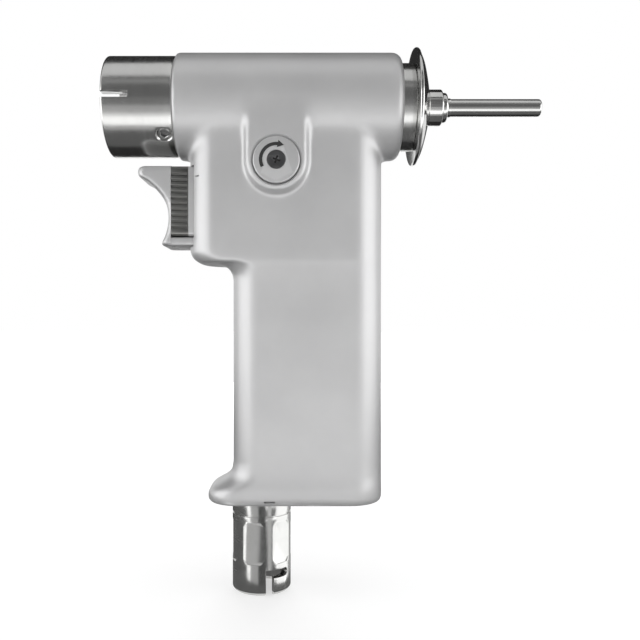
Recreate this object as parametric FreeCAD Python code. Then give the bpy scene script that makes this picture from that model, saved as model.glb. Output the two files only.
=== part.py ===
"""Pistol-grip surgical driver, powered by compressed gas, as separate working pieces.

Frame: X runs along the spindle from the attachment mouth (X = 0) to the rear, Z is up, and Y goes across.
All sizes are millimetres.
"""

import FreeCAD, Part
import math
import os

V = FreeCAD.Vector
AXES = {"x": V(1, 0, 0), "y": V(0, 1, 0), "z": V(0, 0, 1)}

# Fits
press_gap = 0.02
running_gap = 0.04
sliding_gap = 0.25

# Barrel of the housing
barrel_radius = 16.2
barrel_bore = 13.3
barrel_front = 20.8
barrel_rear_round = 2.8
barrel_front_round = 0.9

# Handle of the housing
block_front = 24.9
block_bottom = -48.6
block_half_width = 13.3
block_corner = 7.0
block_bottom_round = 4.2
grip_front = 38.0
grip_back = 83.0
grip_half_width = 12.6
grip_front_corner = 8.0
grip_back_corner = 9.0
grip_bottom = -120.6
grip_bottom_round = 2.2
web_round = 5.0
barrel_web_round = 3.0
round_steps = 5
toe_height = 12.0
toe_shape = [
    (9.2, 0.5), (7.6, 1.6), (6.4, 3.2), (5.5, 5.0), (4.6, 6.4), (3.4, 7.3), (2.0, 7.7),
]
toe_half_width = 13.15
index_mark = (26.6, -23.1, 1.2, 0.45)

# Reversing valve, its two buttons and the pads around them
pad_x = 51.4
pad_z = -19.4
pad_top = -0.4
pad_face = 16.1
pad_radius = 9.05
pad_base_y = 12.75
pad_base_round = 2.15
pad_edge_round = 0.7
button_radius = 6.85
button_depth = 6.0
button_proud = 0.5
button_travel = 4.5
button_edge = 0.5
button_mouth = 0.55
arc_mark_inner = 3.8
arc_mark_outer = 5.2
arc_mark_depth = 0.15
arc_mark_start = 65.0
arc_mark_sweep = 142.0
spool_radius = 3.5
spool_waist = 2.4
spool_sleeve_radius = 5.0
spool_sleeve_half = 10.3
spool_seal_y = 7.2
motor_port_y = 3.0
button_screw_head = 2.75
button_screw_shank = 1.25
button_screw_length = 8.0
cross_recess = 0.8

# Trigger
trigger_z = -30.0
trigger_travel = 4.0
trigger_half_width = 9.0
trigger_top = -19.4
trigger_back = 19.7
trigger_tip = 9.4
trigger_round = 1.0
trigger_front = [
    (9.7, -22.6), (12.5, -24.1), (15.5, -27.0), (17.5, -29.8), (18.4, -32.4), (18.65, -35.0), (18.5, -37.0),
    (17.9, -39.6), (17.3, -41.2), (16.5, -42.9),
]
foot_half_width = 7.0
foot_top = -40.95
foot_bottom = -43.5
foot_end = 31.5
slide_half_width = 9.0
slide_top = -19.7
slide_bottom = -40.7
slide_end = 34.0
slide_corner = 1.2
rib_pitch = 1.75
rib_half = 0.65
rib_depth = 0.45
pocket_floor = 38.6
stem_radius = 2.5
stem_front = 23.0
stem_seal_x = 40.9
trigger_spring_radius = 3.4
trigger_spring_wire = 0.7
trigger_spring_front = 24.3
trigger_spring_turns = 7

# Throttle valve behind the trigger
throttle_radius = 5.0
throttle_front = 38.9
throttle_end = 61.6
throttle_guide_end = 43.0
throttle_seat = 50.5
throttle_chamber = 3.7
throttle_seat_bore = 2.2
valve_stem_radius = 1.2
valve_head_radius = 3.0
valve_head_length = 2.4
valve_spring_radius = 2.6
valve_spring_wire = 0.5
valve_spring_turns = 4
passage_radius = 1.6
sleeve_port_radius = 1.3
low_port_x = throttle_seat + 6.5
high_port_x = throttle_seat - 3.1
spool_port_x = pad_x - 1.2

# Attachment sleeve at the front
sleeve_radius = 15.25
sleeve_bore = 11.0
sleeve_bore_depth = 14.5
sleeve_seat_end = 21.2
sleeve_lip_end = 22.4
sleeve_lip_bore = 7.4
sleeve_rear = 28.6
sleeve_slot_width = 2.0
sleeve_slot_length = 8.1
sleeve_rim_round = 0.8
sleeve_mouth_bevel = 0.3
set_screw_x = 18.0
set_screw_radius = 2.0
set_screw_angle = 46.0
set_screw_top = 14.6
set_screw_tip = 9.1
set_screw_hex = 2.0

# Output spindle
wire_bore = 1.7
spindle_radius = 5.0
spindle_nose = 15.2
spindle_socket_flats = 5.5
spindle_socket_depth = 6.5
spindle_collar_radius = 6.4
carrier_front = 28.9
carrier_thickness = 1.9
carrier_radius = 10.0
carrier_rear_thickness = 1.6
carrier_rear_bore = 4.6

# Ball bearings: bore, outer radius, width, ball radius, number of balls
spindle_race_outer = 9.0
spindle_race_width = 4.6
spindle_ball_radius = 1.15
spindle_ball_count = 9
spindle_bearing = (spindle_radius, spindle_race_outer, spindle_race_width, spindle_ball_radius,
                   spindle_ball_count)
rotor_shaft_radius = 3.0
rotor_race_outer = 6.5
rotor_race_width = 4.2
rotor_ball_radius = 1.0
rotor_ball_count = 7
rotor_bearing = (rotor_shaft_radius, rotor_race_outer, rotor_race_width, rotor_ball_radius,
                 rotor_ball_count)
spindle_bearing_front = 16.5
race_gap = 0.03

# Planetary gears
gear_module = 0.6
sun_teeth = 12
planet_teeth = 12
ring_teeth = 36
planet_count = 3
gear_front = 31.3
gear_width = 6.6
gear_side_gap = 0.5
pressure_angle = math.radians(25.0)
tooth_addendum = 0.5
tooth_dedendum = 0.72
tooth_backlash = 0.1
flank_steps = 2
planet_pin_radius = 1.5
strut_radius = 1.7
strut_circle = 8.0

# Vane motor
front_plate_x = 42.0
front_plate_length = 7.0
cylinder_x = front_plate_x + front_plate_length
cylinder_length = 24.0
cylinder_bore = 11.0
cylinder_offset = 1.2
rotor_radius = 9.75
rotor_end_gap = 0.1
vane_count = 5
vane_thickness = 1.5
vane_slot_depth = 5.4
vane_gap = 0.05
rear_plate_x = cylinder_x + cylinder_length
rear_plate_length = 6.4
shaft_front = 38.6
pinion_spigot_radius = 2.3
pinion_spigot_length = 4.0
plate_bore = 3.6
motor_port_radius = 1.1

# Rear cap, hand guard and wire guard
cap_front = rear_plate_x + rear_plate_length
neck_radius = 13.2
cap_length = 9.6
barrel_rear = cap_front + cap_length
neck_front = barrel_rear - 0.4
neck_end = barrel_rear + 3.9
cap_bore = 8.6
cap_floor = neck_front - 1.0
cap_seal_x = cap_front + 3.0
cap_seal_section = 0.7
cap_seal_radius = barrel_bore - cap_seal_section - 0.05
guard_radius = 17.8
guard_rim = 2.7
guard_dome = 2.0
guard_spigot_radius = 4.2
guard_spigot_front = cap_floor - 3.4
nut_flats = 11.0
nut_length = 2.4
hub_radius = 5.5
hub_length = 5.0
hub_tip_radius = 2.85
hub_tip_length = 2.2
tube_radius = 2.65
tube_front = cap_front + 1.0
tube_end = neck_end + 39.8
tube_end_round = 0.8

# Hose coupling under the grip
coupling_x = 46.4
coupling_radius = 8.95
coupling_length = 27.7
coupling_bottom = grip_bottom - coupling_length
coupling_bore = 6.8
coupling_bore_length = 12.3
coupling_shoulder_bore = 6.0
coupling_shoulder_length = 6.0
coupling_shoulder_end = coupling_bottom + coupling_bore_length + coupling_shoulder_length
coupling_inner_bore = 4.0
coupling_spigot_radius = 7.4
coupling_spigot_length = 9.0
coupling_spigot_top = grip_bottom + coupling_spigot_length
coupling_edge_round = 1.4
coupling_groove_z = grip_bottom - 3.9
coupling_groove_width = 0.5
coupling_groove_depth = 0.3
exhaust_hole_count = 6
exhaust_hole_circle = 5.2
exhaust_hole_radius = 0.7
wrench_flats = 6
wrench_flat_depth = 0.68
wrench_top = grip_bottom - 5.9
wrench_length = 12.2
wrench_bottom = wrench_top - wrench_length
wrench_phase = -20.0
wrench_slope = 1.5
bayonet_width = 2.5
bayonet_depth = 7.7
bayonet_top = coupling_bottom + bayonet_depth
bayonet_angle = 19.0
bayonet_turn = 36.0
chamber_radius = 6.4
chamber_top = block_bottom - 5.4
supply_radius = 2.6
supply_bore = 1.7
supply_bottom = grip_bottom + 2.6
supply_collar_length = 5.0
supply_collar_top = supply_bottom + supply_collar_length
supply_top = chamber_top + 5.5
filter_thickness = 3.2
filter_top = grip_bottom - 0.2
filter_hole_radius = 0.5
filter_hole_circle = 1.7
nipple_radius = 3.6
nipple_bore = 2.3
nipple_top = filter_top - filter_thickness
nipple_bottom = coupling_bottom + 13.7
nipple_seal_z = nipple_bottom + 3.0
muffler_radius = 6.2
muffler_bore = 3.4
muffler_top = chamber_top - 3.0
muffler_bottom = coupling_spigot_top + 3.6


def cylinder(axis, start, length, radius, x=0.0, y=0.0, z=0.0):
    """A round bar along an axis. start is its first coordinate along that axis."""
    place = {"x": V(start, y, z), "y": V(x, start, z), "z": V(x, y, start)}[axis]
    return Part.makeCylinder(radius, length, place, AXES[axis])


def tube(axis, start, length, outer, inner, **place):
    """A round tube along an axis."""
    return cylinder(axis, start, length, outer, **place).cut(cylinder(axis, start, length, inner, **place))


def block(x0, x1, y0, y1, z0, z1):
    """A box between two corners."""
    return Part.makeBox(x1 - x0, y1 - y0, z1 - z0, V(x0, y0, z0))


def polygon_face(points):
    """A flat face inside straight edges."""
    return Part.Face(Part.makePolygon(points + [points[0]]))


def turned(outline, axis="x", x=0.0, y=0.0, z=0.0):
    """A turned piece. Its outline is a list of (place along the axis, radius)."""
    along = AXES[axis]
    out = V(1, 0, 0) if axis == "z" else V(0, 0, 1)
    origin = V(x, y, z) - along * V(x, y, z).dot(along)
    points = [origin + along * a + out * r for a, r in outline]
    return polygon_face(points).revolve(origin, along, 360)


def torus(axis, at, mean_radius, section, x=0.0, y=0.0, z=0.0):
    """A round ring across an axis."""
    place = {"x": V(at, y, z), "y": V(x, at, z), "z": V(x, y, at)}[axis]
    return Part.makeTorus(mean_radius, section, place, AXES[axis])


def hexagon(axis, start, length, flats, x=0.0, y=0.0, z=0.0):
    """A six-sided bar along an axis."""
    corner = flats / 2 / math.cos(math.pi / 6)
    points = []
    for i in range(6):
        u = corner * math.cos(math.pi / 3 * i)
        w = corner * math.sin(math.pi / 3 * i)
        places = {"x": V(start, y + u, z + w), "y": V(x + u, start, z + w), "z": V(x + u, y + w, start)}
        points.append(places[axis])
    return polygon_face(points).extrude(AXES[axis] * length)


def circle_edges(shape, axis, at, radius, tolerance=0.02):
    """The round edges of a given radius that lie across an axis at one place."""
    found = []
    for edge in shape.Edges:
        curve = edge.Curve
        if not isinstance(curve, Part.Circle):
            continue
        along = curve.Center.dot(AXES[axis])
        if abs(along - at) < tolerance and abs(curve.Radius - radius) < tolerance:
            found.append(edge)
    return found


def spin(shape, angle, axis="x", x=0.0, y=0.0, z=0.0):
    """A copy turned about an axis by degrees."""
    copy = shape.copy()
    copy.rotate(V(x, y, z), AXES[axis], angle)
    return copy


def moved(shape, x=0.0, y=0.0, z=0.0):
    """A copy moved by millimetres."""
    copy = shape.copy()
    copy.translate(V(x, y, z))
    return copy


def joined(shapes):
    """Several separate solids kept together as one group."""
    return Part.makeCompound(shapes)


def rounded_section(z, front, front_half, front_corner):
    """A closed outline across the handle: four straight sides with an arc at each corner."""
    corners = [
        (V(front, -front_half, z), front_corner),
        (V(grip_back, -grip_half_width, z), grip_back_corner),
        (V(grip_back, grip_half_width, z), grip_back_corner),
        (V(front, front_half, z), front_corner),
    ]
    ends = []
    for i, (corner, radius) in enumerate(corners):
        before = (corners[i - 1][0] - corner).normalize()
        after = (corners[(i + 1) % 4][0] - corner).normalize()
        half_angle = before.getAngle(after) / 2
        reach = radius / math.tan(half_angle)
        middle = corner + (before + after).normalize() * (radius / math.sin(half_angle) - radius)
        ends.append((corner + before * reach, middle, corner + after * reach))
    edges = []
    for i, (start, middle, end) in enumerate(ends):
        edges.append(Part.Arc(start, middle, end).toShape())
        edges.append(Part.LineSegment(end, ends[(i + 1) % 4][0]).toShape())
    return Part.Wire(edges)


def handle_sections():
    """The outlines of the handle from the barrel down to the toe: (z, front, half width, front corner)."""
    sections = [(0.0, block_front, block_half_width, block_corner)]
    shoulder = block_bottom + block_bottom_round
    sections.append((shoulder, block_front, block_half_width, block_corner))
    step = math.pi / 2 / round_steps
    for i in range(1, round_steps):
        share = i / round_steps
        front = block_front + block_bottom_round * (1 - math.cos(i * step))
        half = block_half_width + (grip_half_width - block_half_width) * share
        z = shoulder - block_bottom_round * math.sin(i * step)
        sections.append((z, front, half, block_corner + (grip_front_corner - block_corner) * share))
    flat = (block_front + block_bottom_round + grip_front - web_round) / 2
    sections.append((block_bottom - 0.02, flat, grip_half_width, grip_front_corner))
    for i in range(1, round_steps + 1):
        front = grip_front - web_round * (1 - math.sin(i * step))
        z = block_bottom - 0.06 - web_round * (1 - math.cos(i * step))
        sections.append((z, front, grip_half_width, grip_front_corner))
    sections.append((grip_bottom + toe_height, grip_front, grip_half_width, grip_front_corner))
    reach = toe_shape[-1][1]
    for height, out in toe_shape:
        half = grip_half_width + (toe_half_width - grip_half_width) * out / reach
        sections.append((grip_bottom + height, grip_front - out, half, grip_front_corner + out * 0.12))
    sections.append((grip_bottom, grip_front - reach, toe_half_width, grip_front_corner + reach * 0.12))
    return sections


def housing_outside():
    """The barrel and the handle as one casting, with the concave web where they meet."""
    handle = Part.makeLoft([rounded_section(*s) for s in handle_sections()], True, True)
    low = [e for e in handle.Edges if abs(e.BoundBox.ZMax - grip_bottom) < 0.01]
    handle = handle.makeFillet(grip_bottom_round, low)
    barrel = cylinder("x", barrel_front, barrel_rear - barrel_front, barrel_radius)
    barrel = barrel.makeFillet(barrel_front_round, circle_edges(barrel, "x", barrel_front, barrel_radius))
    barrel = barrel.makeFillet(barrel_rear_round, circle_edges(barrel, "x", barrel_rear, barrel_radius))
    body = handle.fuse(barrel)
    junction = []
    for edge in body.Edges:
        box = edge.BoundBox
        middle = edge.valueAt((edge.FirstParameter + edge.LastParameter) / 2)
        if box.ZMax < 0 and box.XMin > barrel_front + 1.5 and box.XMax < barrel_rear - 3:
            if abs(math.hypot(middle.y, middle.z) - barrel_radius) < 0.02:
                junction.append(edge)
    return body.makeFillet(barrel_web_round, junction)


def pad_outline(radius, y):
    """The outline of a button pad: a half circle below and straight sides going up into the barrel."""
    left = V(pad_x - radius, y, pad_z)
    right = V(pad_x + radius, y, pad_z)
    arc = Part.Arc(left, V(pad_x, y, pad_z - radius), right).toShape()
    sides = [
        Part.LineSegment(right, V(pad_x + radius, y, pad_top)).toShape(),
        Part.LineSegment(V(pad_x + radius, y, pad_top), V(pad_x - radius, y, pad_top)).toShape(),
        Part.LineSegment(V(pad_x - radius, y, pad_top), left).toShape(),
    ]
    return Part.Wire([arc] + sides)


def button_pad(side):
    """The raised pad around a button, with a concave foot and a softened face edge."""
    foot = pad_radius + pad_base_round
    sections = [(foot, 9.0)]
    for i in range(5):
        t = math.pi / 8 * i
        y = pad_base_y + pad_base_round * (1 - math.cos(t))
        sections.append((foot - pad_base_round * math.sin(t), y))
    for i in range(4):
        t = math.pi / 6 * i
        y = pad_face - pad_edge_round * (1 - math.sin(t))
        sections.append((pad_radius - pad_edge_round * (1 - math.cos(t)), y))
    return Part.makeLoft([pad_outline(r, side * y) for r, y in sections], True, True)


def passage(x0, z0, x1, z1):
    """A drilled gas passage between two points in the middle plane."""
    way = V(x1 - x0, 0, z1 - z0)
    return Part.makeCylinder(passage_radius, way.Length, V(x0, 0, z0), way)


def button_seats():
    """The counterbores that the buttons run in, each with a bevelled mouth."""
    bore = button_radius + sliding_gap - 0.05
    floor = pad_face + button_proud - button_depth - 0.3
    cuts = []
    for side in (-1, 1):
        start = floor if side > 0 else -floor - 8
        face = side * pad_face
        cuts.append(cylinder("y", start, 8, bore, x=pad_x, z=pad_z))
        cuts.append(turned([
            (face - side * button_mouth, 0), (face - side * button_mouth, bore),
            (face + side * 0.5, bore + button_mouth + 0.5), (face + side * 0.5, 0),
        ], axis="y", x=pad_x, z=pad_z))
    return cuts


def housing():
    body = housing_outside().fuse([button_pad(-1), button_pad(1)])
    cuts = [cylinder("x", barrel_front - 1, barrel_rear - barrel_front + 2, barrel_bore)]
    cuts.append(block(
        block_front - 2, pocket_floor, -slide_half_width - sliding_gap, slide_half_width + sliding_gap,
        slide_bottom - sliding_gap, slide_top + sliding_gap,
    ))
    cuts.append(block(
        block_front - 2, foot_end + trigger_travel + 0.6, -foot_half_width - sliding_gap,
        foot_half_width + sliding_gap, foot_bottom - sliding_gap, slide_bottom,
    ))
    cuts.append(cylinder("x", pocket_floor - 1, throttle_end - pocket_floor + 2,
                         throttle_radius + press_gap, z=trigger_z))
    cuts.append(cylinder("y", -12, 24, spool_sleeve_radius + press_gap, x=pad_x, z=pad_z))
    cuts += button_seats()
    cuts.append(cylinder("z", grip_bottom - 2, coupling_spigot_top - grip_bottom + 2.1,
                         coupling_spigot_radius + press_gap, x=coupling_x))
    chamber_length = chamber_top - coupling_spigot_top
    cuts.append(cylinder("z", coupling_spigot_top, chamber_length, chamber_radius, x=coupling_x))
    cuts.append(cylinder("z", chamber_top - 1, supply_top - chamber_top + 1, supply_radius + press_gap,
                         x=coupling_x))
    cuts.append(passage(coupling_x + 0.2, supply_top + 0.3, low_port_x, trigger_z - 2.0))
    cuts.append(passage(high_port_x, trigger_z + 2.0, spool_port_x, pad_z - 2.0))
    for y in (-motor_port_y, motor_port_y):
        cuts.append(cylinder("z", pad_z + 2, 8, motor_port_radius, x=pad_x, y=y))
    mark_x, mark_z, mark_w, mark_h = index_mark
    cuts.append(block(mark_x - mark_w / 2, mark_x + mark_w / 2, -14, -10.55, mark_z - mark_h / 2,
                      mark_z + mark_h / 2))
    return body.cut(cuts)


def coupling_sleeve():
    """The polished front sleeve: attachment mouth, two slots, bearing seat and bush seat."""
    seat = spindle_race_outer + press_gap
    spigot = barrel_bore - press_gap
    body = turned([
        (0, sleeve_bore), (0, sleeve_radius), (barrel_front, sleeve_radius), (barrel_front, spigot),
        (sleeve_rear, spigot), (sleeve_rear, seat), (sleeve_lip_end, seat),
        (sleeve_lip_end, sleeve_lip_bore),
        (sleeve_seat_end, sleeve_lip_bore), (sleeve_seat_end, seat), (sleeve_bore_depth, seat),
        (sleeve_bore_depth, sleeve_bore),
    ])
    body = body.makeFillet(sleeve_rim_round, circle_edges(body, "x", 0, sleeve_radius))
    body = body.makeChamfer(sleeve_mouth_bevel, circle_edges(body, "x", 0, sleeve_bore))
    half = sleeve_slot_width / 2
    end = sleeve_slot_length - half
    slot = block(-1, end, -20, 20, -half, half).fuse(cylinder("y", -20, 40, half, x=end))
    body = body.cut(slot.cut(cylinder("x", -2, 30, sleeve_bore - 1)))
    hole = cylinder("z", 8.0, 10, set_screw_radius + press_gap, x=set_screw_x)
    hole = hole.fuse(cylinder("z", set_screw_top, 3, set_screw_radius + 0.2, x=set_screw_x))
    near = spin(hole, 90 + set_screw_angle)
    return body.cut([near, spin(near, 180)])


def sleeve_set_screws():
    body = cylinder("z", set_screw_tip, set_screw_top - set_screw_tip, set_screw_radius, x=set_screw_x)
    body = body.makeChamfer(0.3, circle_edges(body, "z", set_screw_top, set_screw_radius))
    body = body.cut(hexagon("z", set_screw_top - 2.2, 3, set_screw_hex, x=set_screw_x))
    near = spin(body, 90 + set_screw_angle)
    return joined([near, spin(near, 180)])


def outer_race(bearing, front):
    bore, outer, width, ball, count = bearing
    circle = (bore + outer) / 2
    body = tube("x", front, width, outer, circle + ball * 0.5)
    return body.cut(torus("x", front + width / 2, circle, ball + race_gap))


def inner_race(bearing, front):
    bore, outer, width, ball, count = bearing
    circle = (bore + outer) / 2
    body = tube("x", front, width, circle - ball * 0.5, bore + press_gap)
    return body.cut(torus("x", front + width / 2, circle, ball + race_gap))


def balls(bearing, front):
    """The balls of a bearing with the thin ring that spaces them."""
    bore, outer, width, ball, count = bearing
    circle = (bore + outer) / 2
    middle = front + width / 2
    body = tube("x", middle - 0.25, 0.5, circle + ball * 0.3, circle - ball * 0.3)
    spheres = []
    for i in range(count):
        a = 2 * math.pi * i / count
        spheres.append(Part.makeSphere(ball, V(middle, circle * math.cos(a), circle * math.sin(a))))
    return body.fuse(spheres)


def spindle_seal():
    start = sleeve_bore_depth + 0.3
    return tube("x", start, spindle_bearing_front - start, spindle_race_outer, spindle_radius + 0.15)


def spindle_bush():
    length = sleeve_rear - sleeve_lip_end
    return tube("x", sleeve_lip_end, length, spindle_race_outer, spindle_radius + running_gap)


def output_spindle():
    """The driven spindle: hexagon socket in its nose, a collar behind its bearing, and a through bore."""
    nose_end = spindle_bearing_front + spindle_race_width
    body = turned([
        (spindle_nose, 0), (spindle_nose, spindle_radius - 0.5), (spindle_nose + 0.5, spindle_radius),
        (nose_end, spindle_radius), (nose_end, spindle_collar_radius),
        (sleeve_lip_end - 0.15, spindle_collar_radius), (sleeve_lip_end - 0.15, spindle_radius),
        (carrier_front, spindle_radius), (carrier_front, 0),
    ])
    body = body.cut(hexagon("x", spindle_nose - 1, spindle_socket_depth + 1, spindle_socket_flats))
    return body.cut(cylinder("x", spindle_nose, 20, wire_bore))


def planet_places():
    """Centre (y, z) and angle of each planet gear."""
    centre = gear_module * (sun_teeth + planet_teeth) / 2
    places = []
    for i in range(planet_count):
        a = math.pi / 2 + 2 * math.pi * i / planet_count
        places.append((centre * math.cos(a), centre * math.sin(a), a))
    return places


def planet_carrier():
    """Two discs joined by struts between the planets."""
    rear = gear_front + gear_width + gear_side_gap
    front_end = carrier_front + carrier_thickness
    body = tube("x", carrier_front, carrier_thickness, carrier_radius, wire_bore)
    parts = [tube("x", rear, carrier_rear_thickness, carrier_radius, carrier_rear_bore)]
    holes = []
    for y, z, a in planet_places():
        turn = a + math.pi / planet_count
        parts.append(cylinder("x", front_end - 0.5, rear - front_end + 1.0, strut_radius,
                              y=strut_circle * math.cos(turn), z=strut_circle * math.sin(turn)))
        holes.append(cylinder("x", carrier_front - 1, 20, planet_pin_radius + press_gap, y=y, z=z))
    return body.fuse(parts).cut(holes)


def planet_pins():
    length = gear_front + gear_width + gear_side_gap + carrier_rear_thickness - carrier_front
    pins = []
    for y, z, a in planet_places():
        pins.append(cylinder("x", carrier_front, length, planet_pin_radius, y=y, z=z))
    return joined(pins)


def gear_outline(teeth, tip, root, change):
    """The outline of a spur gear with involute flanks. One tooth lies on the first axis."""
    pitch = gear_module * teeth / 2
    base = pitch * math.cos(pressure_angle)

    def involute(r):
        lean = math.acos(min(1.0, base / r))
        return math.tan(lean) - lean

    half = math.pi / (2 * teeth) + change / (2 * pitch)
    low = min(tip, root)
    high = max(tip, root)
    start = max(base, low)
    steps = [start + (high - start) * i / flank_steps for i in range(flank_steps + 1)]
    flank = [(r, half + involute(pitch) - involute(r)) for r in steps]
    if low < start:
        flank = [(low, flank[0][1])] + flank
    points = []
    for tooth in range(teeth):
        middle = 2 * math.pi * tooth / teeth
        points += [(r, middle - a) for r, a in flank]
        points += [(r, middle + a) for r, a in reversed(flank)]
    return points


def gear_bar(teeth, tip, root, change, start, width, turn=0.0, y=0.0, z=0.0):
    """A toothed bar along X."""
    outline = gear_outline(teeth, tip, root, change)
    points = [V(start, y + r * math.cos(a + turn), z + r * math.sin(a + turn)) for r, a in outline]
    return polygon_face(points).extrude(V(width, 0, 0))


def planet_gear(index):
    y, z, a = planet_places()[index]
    pitch = gear_module * planet_teeth / 2
    turn = a + math.pi + math.pi / planet_teeth
    body = gear_bar(planet_teeth, pitch + tooth_addendum, pitch - tooth_dedendum, -tooth_backlash / 2,
                    gear_front, gear_width, turn, y, z)
    bore = planet_pin_radius + running_gap
    return body.cut(cylinder("x", gear_front - 1, gear_width + 2, bore, y=y, z=z))


def sun_pinion():
    pitch = gear_module * sun_teeth / 2
    start = gear_front - 0.2
    body = gear_bar(sun_teeth, pitch + tooth_addendum, pitch - tooth_dedendum, -tooth_backlash / 2,
                    start, shaft_front - start, math.pi / 2)
    body = body.fuse(cylinder("x", shaft_front - 0.5, pinion_spigot_length + 0.5, pinion_spigot_radius))
    return body.cut(cylinder("x", start - 1, 20, wire_bore))


def ring_gear():
    pitch = gear_module * ring_teeth / 2
    clear = pitch + tooth_dedendum + 0.1
    body = cylinder("x", sleeve_rear, front_plate_x - sleeve_rear, barrel_bore - press_gap)
    body = body.cut(cylinder("x", sleeve_rear - 1, gear_front - sleeve_rear + 0.6, clear))
    body = body.cut(cylinder("x", gear_front + gear_width + 0.4, 10, clear))
    space = gear_bar(ring_teeth, pitch - tooth_addendum, pitch + tooth_dedendum, tooth_backlash / 2,
                     sleeve_rear - 1, 20, math.pi / 2 + math.pi / ring_teeth)
    return body.cut(space)


def motor_front_plate():
    body = cylinder("x", front_plate_x, front_plate_length, barrel_bore - press_gap)
    seat = rotor_race_outer + press_gap
    body = body.cut(cylinder("x", front_plate_x - 1, rotor_race_width + 1.2, seat))
    return body.cut(cylinder("x", front_plate_x, 20, plate_bore))


def motor_cylinder():
    body = cylinder("x", cylinder_x, cylinder_length, barrel_bore - press_gap)
    body = body.cut(cylinder("x", cylinder_x - 1, cylinder_length + 2, cylinder_bore, z=cylinder_offset))
    ports = [cylinder("z", -14, 8, motor_port_radius, x=pad_x, y=y) for y in (-motor_port_y, motor_port_y)]
    return body.cut(ports)


def motor_rear_plate():
    body = cylinder("x", rear_plate_x, rear_plate_length, barrel_bore - press_gap)
    pocket = cap_front - rotor_race_width - 0.2
    body = body.cut(cylinder("x", pocket, 20, rotor_race_outer + press_gap))
    return body.cut(cylinder("x", rear_plate_x - 1, 20, plate_bore))


def vane_bars(extra, depth, over):
    """A flat bar at each of the rotor's vane places. over is how far a bar runs past each end."""
    start = cylinder_x + rotor_end_gap - over
    end = rear_plate_x - rotor_end_gap + over
    half = vane_thickness / 2 + extra
    bar = block(start, end, -half, half, rotor_radius - depth, rotor_radius + over)
    return [spin(bar, 360 / vane_count * i + 180 / vane_count) for i in range(vane_count)]


def rotor():
    start = cylinder_x + rotor_end_gap
    length = cylinder_length - 2 * rotor_end_gap
    body = tube("x", start, length, rotor_radius, rotor_shaft_radius + press_gap)
    return body.cut(vane_bars(vane_gap, vane_slot_depth, 2))


def rotor_vanes():
    trim = cylinder("x", cylinder_x - 1, cylinder_length + 2, rotor_radius)
    return joined([bar.common(trim) for bar in vane_bars(0, vane_slot_depth - 0.3, 0)])


def rotor_shaft():
    body = tube("x", shaft_front, cap_front - 0.1 - shaft_front, rotor_shaft_radius, wire_bore)
    socket = pinion_spigot_radius + press_gap
    return body.cut(cylinder("x", shaft_front - 1, pinion_spigot_length + 1.2, socket))


def rear_cap():
    """The cap that closes the barrel and ends in the polished neck."""
    body = turned([
        (cap_front, cap_bore), (cap_front, barrel_bore - press_gap), (neck_front, barrel_bore - press_gap),
        (neck_front, neck_radius), (neck_end, neck_radius), (neck_end, guard_spigot_radius + press_gap),
        (cap_floor, guard_spigot_radius + press_gap), (cap_floor, cap_bore),
    ])
    return body.cut(torus("x", cap_seal_x, cap_seal_radius, cap_seal_section + 0.05))


def rear_cap_seal():
    return torus("x", cap_seal_x, cap_seal_radius, cap_seal_section)


def guard_flange():
    """The domed hand guard with its spigot through the rear cap."""
    bore = tube_radius + press_gap
    rim_end = neck_end + guard_rim
    top = rim_end + guard_dome
    body = turned([
        (neck_end, bore), (neck_end, guard_radius), (rim_end, guard_radius),
        (rim_end + guard_dome * 0.16, guard_radius * 0.82),
        (rim_end + guard_dome * 0.45, guard_radius * 0.63),
        (rim_end + guard_dome * 0.75, guard_radius * 0.47), (top, hub_radius), (top, bore),
    ])
    rim = circle_edges(body, "x", rim_end, guard_radius) + circle_edges(body, "x", neck_end, guard_radius)
    body = body.makeFillet(guard_rim * 0.46, rim)
    spigot = tube("x", guard_spigot_front, neck_end - guard_spigot_front + 0.5, guard_spigot_radius, bore)
    return body.fuse(spigot)


def guard_nut():
    start = cap_floor - nut_length
    body = hexagon("x", start, nut_length, nut_flats)
    return body.cut(cylinder("x", start - 1, nut_length + 2, guard_spigot_radius + press_gap))


def guard_hub():
    """The hub that holds the wire guard: rounded, then a step down to a thin collar."""
    bore = tube_radius + press_gap
    start = neck_end + guard_rim + guard_dome
    end = start + hub_length
    return turned([
        (start, bore), (start, hub_radius), (end - 0.9, hub_radius), (end - 0.25, hub_radius - 0.3),
        (end, hub_radius - 0.9), (end, hub_tip_radius + 0.9), (end + 0.5, hub_tip_radius + 0.9),
        (end + 1.0, hub_tip_radius + 0.3), (end + hub_tip_length, hub_tip_radius),
        (end + hub_tip_length, bore),
    ])


def guard_tube():
    """The tube that covers the end of a wire. It continues the bore of the spindle and the rotor shaft."""
    body = tube("x", tube_front, tube_end - tube_front, tube_radius, wire_bore)
    return body.makeFillet(tube_end_round, circle_edges(body, "x", tube_end, tube_radius))


def throttle_sleeve():
    """The pressed sleeve with the stem guide, the valve seat and a port on each side of it."""
    guide = stem_radius + running_gap
    body = turned([
        (throttle_front, guide), (throttle_front, throttle_radius), (throttle_end, throttle_radius),
        (throttle_end, 0), (throttle_end - 1.0, 0), (throttle_end - 1.0, throttle_chamber),
        (throttle_seat + 1.0, throttle_chamber), (throttle_seat + 1.0, throttle_seat_bore),
        (throttle_seat, throttle_seat_bore), (throttle_seat, throttle_chamber - 0.4),
        (throttle_guide_end, throttle_chamber - 0.4), (throttle_guide_end, guide),
    ], z=trigger_z)
    reach = throttle_radius + 1
    low = cylinder("z", trigger_z - reach, reach, sleeve_port_radius, x=low_port_x)
    high = cylinder("z", trigger_z, reach, sleeve_port_radius, x=high_port_x)
    return body.cut([low, high])


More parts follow.
